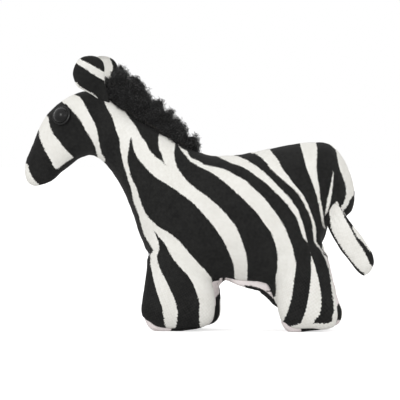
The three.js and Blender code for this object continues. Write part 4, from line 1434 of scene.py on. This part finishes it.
tail = {
    "length": 36.7,
    "width": 13.4,
    "thickness": 8.5,
    "drop": 31,
    "top": (75.25, -11.89, 64.52),
    "hang": 0.34,  # the share of its thickness that lies on the seam's plane
    "rings": 90,
    "sides": 64,
    "voxel": 0.6,
    "relaxTurns": 6,
    "slant": 0.58,  # its top runs up along the slanting seam
    "slantFrom": -7.0,
    "slantReach": 12.0,
    "seat": (0.2, 3.6),  # over this run below its top it leaves the rump
    "cling": 0.7,
    "sunk": 0.5,
    "seam": (0.15, 0.14, 0.3),  # where its two leaves meet: [turn of the surface, half width, depth]
    "gather": (0.3, 2.4, 0.7, (-1, 2), (1, 9)),  # height, waves to a millimetre, phase, where they rise and fade
    "lumps": (0.35, 6, (9, 3, 1)),  # height, length, place in the noise
    "clothLean": 0.6,
    "rootShown": 0.6,  # the root is shaped where it stands this far off the body
    "rootDepth": 0.25,
    "rootInk": 3.0,  # black all over
    "bend": (-2.0, 4.0),  # down the tail, from one place to another
    # [place, front edge, rear edge, thickness], shares of length, width, width and thickness
    "rows": [
        (0, -0.56, 0.2, 0.3), (0.1, -0.59, 0.26, 0.5), (0.3, -0.63, 0.35, 0.84), (0.55, -0.6, 0.43, 1.0),
        (0.77, -0.52, 0.44, 1.0), (0.89, -0.46, 0.33, 0.94), (0.96, -0.4, 0.12, 0.8), (1.0, -0.34, -0.08, 0.6),
    ],
}
tailLean = math.radians(tail["drop"])
tailDown = np.array([math.sin(tailLean), 0, -math.cos(tailLean)])
tailAside = np.array([math.cos(tailLean), 0, math.sin(tailLean)])


def tailPlace(points):  # down the tail, and across it
    away = points - np.array(tail["top"])
    return away @ tailDown, away @ tailAside


def seatOnRump(points):  # the top end is drawn onto the rump, where it is sewn in
    along, beside = tailPlace(points)
    below = along + tail["slant"] * np.maximum(beside - tail["slantFrom"], 0)
    pull = 1 - smoothStep(*tail["seat"], below)
    nearest, normals = nearestOn(skin, points)
    off = ((points - nearest) * normals).sum(1)
    return points - normals * (pull * (tail["cling"] * off + tail["sunk"]))[:, None]


def tailRings():
    place, front, rear, thick = smoothRows(tail["rows"], np.linspace(0, 1, tail["rings"])).T
    centres = np.array(tail["top"]) + (tail["length"] * place)[:, None] * tailDown
    centres += ((front + rear) / 2 * tail["width"])[:, None] * tailAside
    centres[:, 1] -= (thick - tail["hang"]) * tail["thickness"] / 2
    aside = ((rear - front) / 2 * tail["width"])[:, None] * tailAside
    rings = sectionRings(centres, aside, alongAxis(thick * tail["thickness"] / 2, 1), tail["sides"])
    along, beside = tailPlace(rings)
    lift = tail["slant"] * (beside - tail["slantFrom"]) * (1 - smoothStep(0, tail["slantReach"], along))
    return rings - lift[..., None] * tailDown


def tailTube():
    rings = tailRings()
    count, sides = rings.shape[:2]
    tube = meshObject("tailCover", rings.reshape(-1, 3), loftFaces(count, sides))
    with meshWork(tube.data) as work:
        work.verts.ensure_lookup_table()
        work.faces.new([work.verts[(count - 1) * sides + side] for side in range(sides)])
        work.faces.new([work.verts[side] for side in reversed(range(sides))])
        bmesh.ops.triangulate(work, faces=[face for face in work.faces if len(face.verts) > 4])
        bmesh.ops.recalc_face_normals(work, faces=work.faces)
    voxelRemesh(tube, tail["voxel"])
    relax(tube, tail["relaxTurns"])
    points, normals = meshPoints(tube), meshNormals(tube)
    along, beside = tailPlace(points)
    height, waves, phase, rise, fade = tail["gather"]
    lift = height * np.sin(beside * waves + phase) * (1 - smoothStep(*fade, along)) * smoothStep(*rise, along)
    height, length, shift = tail["lumps"]
    lift += height * noiseAt(points, length, shift)
    turn, width, depth = tail["seam"]
    lift -= depth * np.exp(-((normals[:, 1] - turn) / width) ** 2)
    movePoints(tube, seatOnRump(points + normals * lift[:, None]))
    return tube, normals[:, 1] < turn


tube, faced = tailTube()
addNumbers(tube, "ink", np.where(faced, planInk(tube, tailPrint), planInk(tube, tailBackPrint)))
planarCloth(tube, tailAside + (0, tail["clothLean"], 0), tailDown)
tube.data.materials.append(bodyCotton)
shadeSmooth(tube)
tailSkin = BVHTree.FromPolygons(meshPoints(tube).tolist(), meshFaces(tube))
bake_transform(tube)
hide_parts("tail_cover")

tailWad = looseCopy("tail_filling", "tailStuffing")
movePoints(tailWad, keepBehind(meshPoints(tailWad), wad["behindCover"], tailSkin))
tailWad.data.materials.append(wadding)
shadeSmooth(tailWad)
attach(tailWad, "tail")
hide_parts("tail_filling")

root = looseCopy("tail_root", "tailRoot")
points = meshPoints(root)
shown = np.linalg.norm(points - nearestOn(skin, points)[0], axis=1) > tail["rootShown"]
movePoints(root, np.where(shown[:, None], keepBehind(points, tail["rootDepth"], tailSkin), points))
addNumbers(root, "ink", np.full(len(points), tail["rootInk"]))
planarCloth(root, tailAside, tailDown)
root.data.materials.append(bodyCotton)
shadeSmooth(root)
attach(root, "toy_body")
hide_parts("tail_root")
print("tail made")


# Mane: a strip of curly fur, short bent fibres in tufts on a dense undercoat and a woven backing

mane = {
    "coreSides": 64,
    "coreRings": 90,
    "voxel": 0.7,
    "relaxTurns": 2,
    "shrink": 1.8,  # the undercoat stays this far inside the tips
    "lumps": ((1.7, 5.5), (1.1, 2.4)),  # height and length of the undercoat's clumps
    "bareAbove": -0.6,  # fibres grow where the undercoat stands at least this high over the cloth
    # along the neck: [base X, base Z, tip X, tip Z, half width]
    "rows": [
        (-57.4, 125.6, -55.2, 136.8, 7.4), (-56.0, 124.4, -53.6, 139.6, 8.4), (-53.8, 123.2, -50.2, 140.0, 8.8),
        (-51.4, 122.0, -48.0, 143.6, 8.9), (-49.2, 120.6, -45.8, 147.2, 8.8), (-47.2, 119.2, -43.2, 143.4, 8.8),
        (-45.4, 118.0, -42.0, 138.0, 8.8), (-43.4, 116.6, -38.6, 140.4, 8.6), (-41.0, 115.0, -35.8, 139.4, 8.7),
        (-38.2, 113.2, -32.2, 135.2, 8.8), (-35.4, 111.4, -28.8, 130.2, 8.8), (-33.2, 110.0, -29.8, 125.2, 8.8),
        (-31.0, 108.6, -25.2, 127.6, 8.8), (-28.4, 107.0, -21.7, 125.6, 8.8), (-26.2, 105.8, -22.6, 120.8, 8.8),
        (-23.8, 104.4, -17.0, 121.8, 8.7), (-21.4, 103.0, -18.2, 117.0, 8.6), (-18.8, 101.6, -13.8, 117.8, 8.5),
        (-15.6, 99.8, -9.6, 112.0, 8.2), (-13.2, 98.5, -9.5, 106.2, 7.8), (-10.6, 97.2, -3.8, 107.6, 7.2),
        (-8.4, 96.2, -1.2, 104.6, 6.2), (-7.0, 95.5, -1.8, 100.6, 4.8), (-6.0, 95.0, -4.0, 98.0, 3.0),
    ],
    "density": 2.8,  # fibres to a square millimetre, each drawn for a dozen real ones
    "fibreLength": 2.1,
    "fibreRadius": 0.085,
    "rooted": 0.3,  # each fibre starts this far under the surface
    "curl": 0.95,
    "fibres": (  # a hook, an open curl and an S: [across, beside, up] for three points, shares of the length
        ((0.0, 0.0, 0.75), (0.7, 0.1, 1.15), (0.95, 0.3, 0.5)),
        ((0.6, 0.2, 0.4), (0.1, 0.95, 0.9), (-0.6, 0.1, 0.8)),
        ((-0.5, 0.1, 0.45), (0.6, 0.3, 0.9), (0.1, 0.75, 1.0)),
    ),
    "taper": {"From Min": 0.3, "To Min": 1.0, "To Max": 0.25},
    "tilt": 0.35,  # radians, at random either way
    "sizes": {2: 0.45, 3: 1.05},  # smallest and largest, at random
    "tuftSizes": {"From Min": 0.35, "From Max": 0.65, "To Min": 0.6, "To Max": 1.35},
    "tuftScale": 0.24,  # tufts to a millimetre
    "tuftLean": 5.4,
    "seed": 7,
}


def maneCore():
    baseX, baseZ, tipX, tipZ, half = smoothRows(mane["rows"], np.linspace(0, 1, mane["coreRings"])).T
    base, tip = (alongAxis(x, 0) + alongAxis(z, 2) for x, z in ((baseX, baseZ), (tipX, tipZ)))
    tip = base + drawnIn(tip - base, mane["shrink"])
    across = alongAxis(half - mane["shrink"], 1)
    core = closedLoft("maneCore", sectionRings((base + tip) / 2, (tip - base) / 2, across, mane["coreSides"]))
    voxelRemesh(core, mane["voxel"])
    relax(core, mane["relaxTurns"])
    points = meshPoints(core)
    lift = sum(height * noiseAt(points, length) for height, length in mane["lumps"])
    points += meshNormals(core) * lift[:, None]
    movePoints(core, points)
    nearest, normals = nearestOn(skin, points)
    above = ((points - nearest) * normals).sum(1)
    addNumbers(core, "bare", above > mane["bareAbove"])
    return core


def newTree(name, wanted):  # a tree with named inputs, and the sockets that give them
    tree = bpy.data.node_groups.new(name, "GeometryNodeTree")
    sockets = {"Geometry": "NodeSocketGeometry"}
    sockets.update({label: "NodeSocketInt" if isinstance(value, int) else "NodeSocketFloat"
                    for label, value in wanted.items()})
    for label, kind in sockets.items():
        tree.interface.new_socket(label, in_out="INPUT", socket_type=kind)
    tree.interface.new_socket("Geometry", in_out="OUTPUT", socket_type="NodeSocketGeometry")
    return tree, addNode(tree, "NodeGroupInput").outputs


def namedValue(tree, name, kind):
    return addNode(tree, "GeometryNodeInputNamedAttribute", {"Name": name}, data_type=kind).outputs["Attribute"]


def joined(tree, parts):
    both = addNode(tree, "GeometryNodeJoinGeometry")
    for part in parts:
        tree.links.new(part, both.inputs[0])
    return both


def finishTree(tree, geometry, material):
    dressed = addNode(tree, "GeometryNodeSetMaterial", {"Geometry": geometry, "Material": material})
    addNode(tree, "NodeGroupOutput", {0: dressed})
    return tree


def fibreShapes(tree, given):
    times = partial(nodeMath, tree, "MULTIPLY")
    length, curl = given["Fibre Length"], given["Curl"]
    ring = addNode(tree, "GeometryNodeCurvePrimitiveCircle", {"Resolution": 3, "Radius": given["Fibre Radius"]})
    shapes = []
    for bends in mane["fibres"]:
        start, end, tip = (addNode(tree, "ShaderNodeCombineXYZ", {
            "X": times(times(length, across), curl), "Y": times(times(length, beside), curl),
            "Z": times(length, up)}) for across, beside, up in bends)
        bend = addNode(tree, "GeometryNodeCurvePrimitiveBezierSegment",
                       {"Resolution": 3, "Start": (0, 0, -mane["rooted"] * mm), "Start Handle": start,
                        "End Handle": end, "End": tip})
        along = addNode(tree, "GeometryNodeSplineParameter").outputs["Factor"]
        taper = addNode(tree, "ShaderNodeMapRange", {"Value": along, **mane["taper"]})
        tapered = addNode(tree, "GeometryNodeSetCurveRadius", {"Curve": bend, "Radius": taper})
        marked = addNode(tree, "GeometryNodeStoreNamedAttribute",
                         {"Geometry": tapered, "Name": "upFibre", "Value": along},
                         data_type="FLOAT", domain="POINT")
        fibre = addNode(tree, "GeometryNodeCurveToMesh",
                        {"Curve": marked, "Profile Curve": ring, "Fill Caps": True})
        shapes.append(addNode(tree, "GeometryNodeGeometryToInstance", {0: fibre}).outputs[0])
    return joined(tree, shapes)


def furTree(values):
    tree, given = newTree("curlyFurFibres", values)
    density = nodeMath(tree, "MULTIPLY", given["Density"], namedValue(tree, "bare", "FLOAT"))
    spots = addNode(tree, "GeometryNodeDistributePointsOnFaces",
                    {"Mesh": given["Geometry"], "Seed": given["Seed"], "Density": density},
                    distribute_method="RANDOM").outputs
    tuft = addNode(tree, "ShaderNodeTexNoise", {"Vector": addNode(tree, "GeometryNodeInputPosition"),
                                                "Scale": given["Tuft Scale"], "Detail": 1.0}).outputs
    centred = vectorMath(tree, "SUBTRACT", tuft["Color"], (0.5, 0.5, 0.5))
    leaned = vectorMath(tree, "SCALE", centred, Scale=given["Tuft Lean"])
    upright = addNode(tree, "FunctionNodeAlignRotationToVector",
                      {"Vector": vectorMath(tree, "ADD", spots["Normal"], leaned)}, axis="Z")
    tilt = mane["tilt"]
    spin = addNode(tree, "FunctionNodeRandomValue",
                   {"Min": (-tilt, -tilt, 0.0), "Max": (tilt, tilt, 2 * math.pi), "Seed": given["Seed"]},
                   data_type="FLOAT_VECTOR")
    turned = addNode(tree, "FunctionNodeRotateRotation", {"Rotation": upright, "Rotate By": spin},
                     rotation_space="LOCAL")
    size = addNode(tree, "FunctionNodeRandomValue", {**mane["sizes"], "Seed": given["Seed"]},
                   data_type="FLOAT").outputs[1]
    grown = addNode(tree, "ShaderNodeMapRange", {"Value": tuft["Fac"], **mane["tuftSizes"]}).outputs[0]
    stand = addNode(tree, "GeometryNodeInstanceOnPoints",
                    {"Points": spots["Points"], "Instance": fibreShapes(tree, given), "Pick Instance": True,
                     "Rotation": turned, "Scale": nodeMath(tree, "MULTIPLY", size, grown)})
    real = addNode(tree, "GeometryNodeRealizeInstances", {0: stand})
    return finishTree(tree, joined(tree, (real.outputs[0], given["Geometry"])), fur)


def grownMesh(base, tree, values, name):  # runs a Geometry Nodes tree on a mesh and keeps the plain result
    grower = base.modifiers.new("grower", "NODES")
    grower.node_group = tree
    for item in tree.interface.items_tree:
        if item.in_out == "INPUT" and item.name in values:
            grower[item.identifier] = values[item.name]
    graph = bpy.context.evaluated_depsgraph_get()
    mesh = bpy.data.meshes.new_from_object(base.evaluated_get(graph))
    base.modifiers.clear()
    grown = bpy.data.objects.new(name, mesh)
    scene.collection.objects.link(grown)
    dropObject(base)
    shadeSmooth(grown)
    return grown


furValues = {
    "Density": mane["density"] / mm ** 2,
    "Fibre Length": mane["fibreLength"] * mm,
    "Fibre Radius": mane["fibreRadius"] * mm,
    "Curl": mane["curl"],
    "Tuft Scale": mane["tuftScale"] / mm,
    "Tuft Lean": mane["tuftLean"],
    "Seed": mane["seed"],
}
pile = grownMesh(maneCore(), furTree(furValues), furValues, "manePile")
print("mane grown,", len(pile.data.polygons), "faces")
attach(pile, "toy_body")
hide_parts("mane_pile")

strip = looseCopy("mane_backing", "maneBacking")
strip.data.materials.append(backing)
shadeSmooth(strip)
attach(strip, "toy_body")
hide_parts("mane_backing")
print("mane made")


# Hand stitches: whip stitches over the closing and the tail's seam, and the ends of the thread

stitch = {
    "pitch": 1.7,
    "length": 1.9,
    "radius": 0.17,
    "slant": 0.5,
    "lift": 0.12,
    "bow": (-2.5, 3.0),  # depth of its ends and height of its middle, in radii
    "bowReach": 0.6,
    "tailRun": (-6.8, 2.0, 26),  # across the tail, from one place to another, and in how many steps
    "tailOff": 0.2,
    "endSides": 6,
    "loops": {  # thread ends left on the cloth: [place, how far it stands off the cloth]
        "rumpThreadEnd": [
            (68.6, -13.6, 45.6, -0.3), (69.2, -13.2, 44.9, 0.5), (69.6, -13.0, 43.9, 1.2),
            (69.4, -13.2, 42.9, 1.1), (69.0, -13.6, 42.4, 0.5), (68.6, -13.9, 42.6, -0.3)],
        "chestThreadEnd": [
            (-31.6, -11.4, 43.0, -0.3), (-30.8, -12.4, 42.0, 0.15), (-29.6, -13.4, 41.2, 0.15),
            (-28.4, -14.2, 40.9, -0.3)],
    },
}


def tailSeamPath():
    beside = np.linspace(*stitch["tailRun"])
    along = stitch["tailOff"] - tail["slant"] * (beside - tail["slantFrom"])
    return nearestOn(skin, np.array(tail["top"]) + along[:, None] * tailDown + beside[:, None] * tailAside)[0]


def stitchTree(values):
    tree, given = newTree("whipStitches", values)
    radius = given["Thread Radius"]
    normal = namedValue(tree, "clothNormal", "FLOAT_VECTOR")
    line = addNode(tree, "GeometryNodeMeshToCurve", {0: given["Geometry"]})
    spaced = addNode(tree, "GeometryNodeCurveToPoints", {"Curve": line, "Length": given["Pitch"]},
                     mode="LENGTH").outputs
    across = vectorMath(tree, "CROSS_PRODUCT", spaced["Tangent"], normal)
    slanted = vectorMath(tree, "SCALE", spaced["Tangent"], Scale=given["Slant"])
    lie = addNode(tree, "FunctionNodeAlignRotationToVector", {"Vector": vectorMath(tree, "ADD", across, slanted)},
                  axis="X")
    flat = addNode(tree, "FunctionNodeAlignRotationToVector", {"Rotation": lie, "Vector": normal},
                   axis="Z", pivot_axis="X")
    times = partial(nodeMath, tree, "MULTIPLY")
    deep, high = (times(radius, share) for share in stitch["bow"])
    ends = []
    for half in (-0.5, 0.5):
        reach = times(given["Length"], half)
        inner = times(reach, stitch["bowReach"])
        ends += [addNode(tree, "ShaderNodeCombineXYZ", {"X": reach, "Z": deep}),
                 addNode(tree, "ShaderNodeCombineXYZ", {"X": inner, "Z": high})]
    bow = addNode(tree, "GeometryNodeCurvePrimitiveBezierSegment",
                  {"Resolution": 7, "Start": ends[0], "Start Handle": ends[1],
                   "End Handle": ends[3], "End": ends[2]})
    ring = addNode(tree, "GeometryNodeCurvePrimitiveCircle", {"Resolution": 6, "Radius": radius})
    thread = addNode(tree, "GeometryNodeCurveToMesh", {"Curve": bow, "Profile Curve": ring, "Fill Caps": True})
    laid = addNode(tree, "GeometryNodeInstanceOnPoints",
                   {"Points": spaced["Points"], "Instance": thread, "Rotation": flat})
    return finishTree(tree, addNode(tree, "GeometryNodeRealizeInstances", {0: laid}), darkThread)


def sewAlong(path, name):
    nearest, normals = nearestOn(skin, path)
    steps = [(place, place + 1) for place in range(len(path) - 1)]
    base = meshObject(name + "Path", nearest + normals * stitch["lift"], [], steps)
    layer = base.data.attributes.new("clothNormal", "FLOAT_VECTOR", "POINT")
    layer.data.foreach_set("vector", normals.astype(np.float32).ravel())
    return grownMesh(base, whipStitches, stitchValues, name)


def threadEnd(places, name):
    line = smoothLine(places, False, 6)
    nearest, normals = nearestOn(skin, line[:, :3])
    line = nearest + normals * line[:, 3:]
    ahead = unitRows(np.gradient(line, axis=0))
    side = unitRows(np.cross(ahead, (0, 1, 0)))
    up = np.cross(side, ahead)
    angle = np.linspace(0, 2 * math.pi, stitch["endSides"], endpoint=False)[None, :, None]
    ring = np.cos(angle) * side[:, None] + np.sin(angle) * up[:, None]
    end = closedLoft(name, line[:, None] + ring * stitch["radius"])
    end.data.materials.append(darkThread)
    shadeSmooth(end)
    return end


stitchValues = {
    "Pitch": stitch["pitch"] * mm,
    "Length": stitch["length"] * mm,
    "Thread Radius": stitch["radius"] * mm,
    "Slant": stitch["slant"],
}
whipStitches = stitchTree(stitchValues)
threads = [sewAlong(closingPlaces, "closingStitches"), sewAlong(tailSeamPath(), "tailStitches")]
threads += [threadEnd(places, name) for name, places in stitch["loops"].items()]
for sewn in threads:
    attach(sewn, "toy_body")
print("stitches sewn")
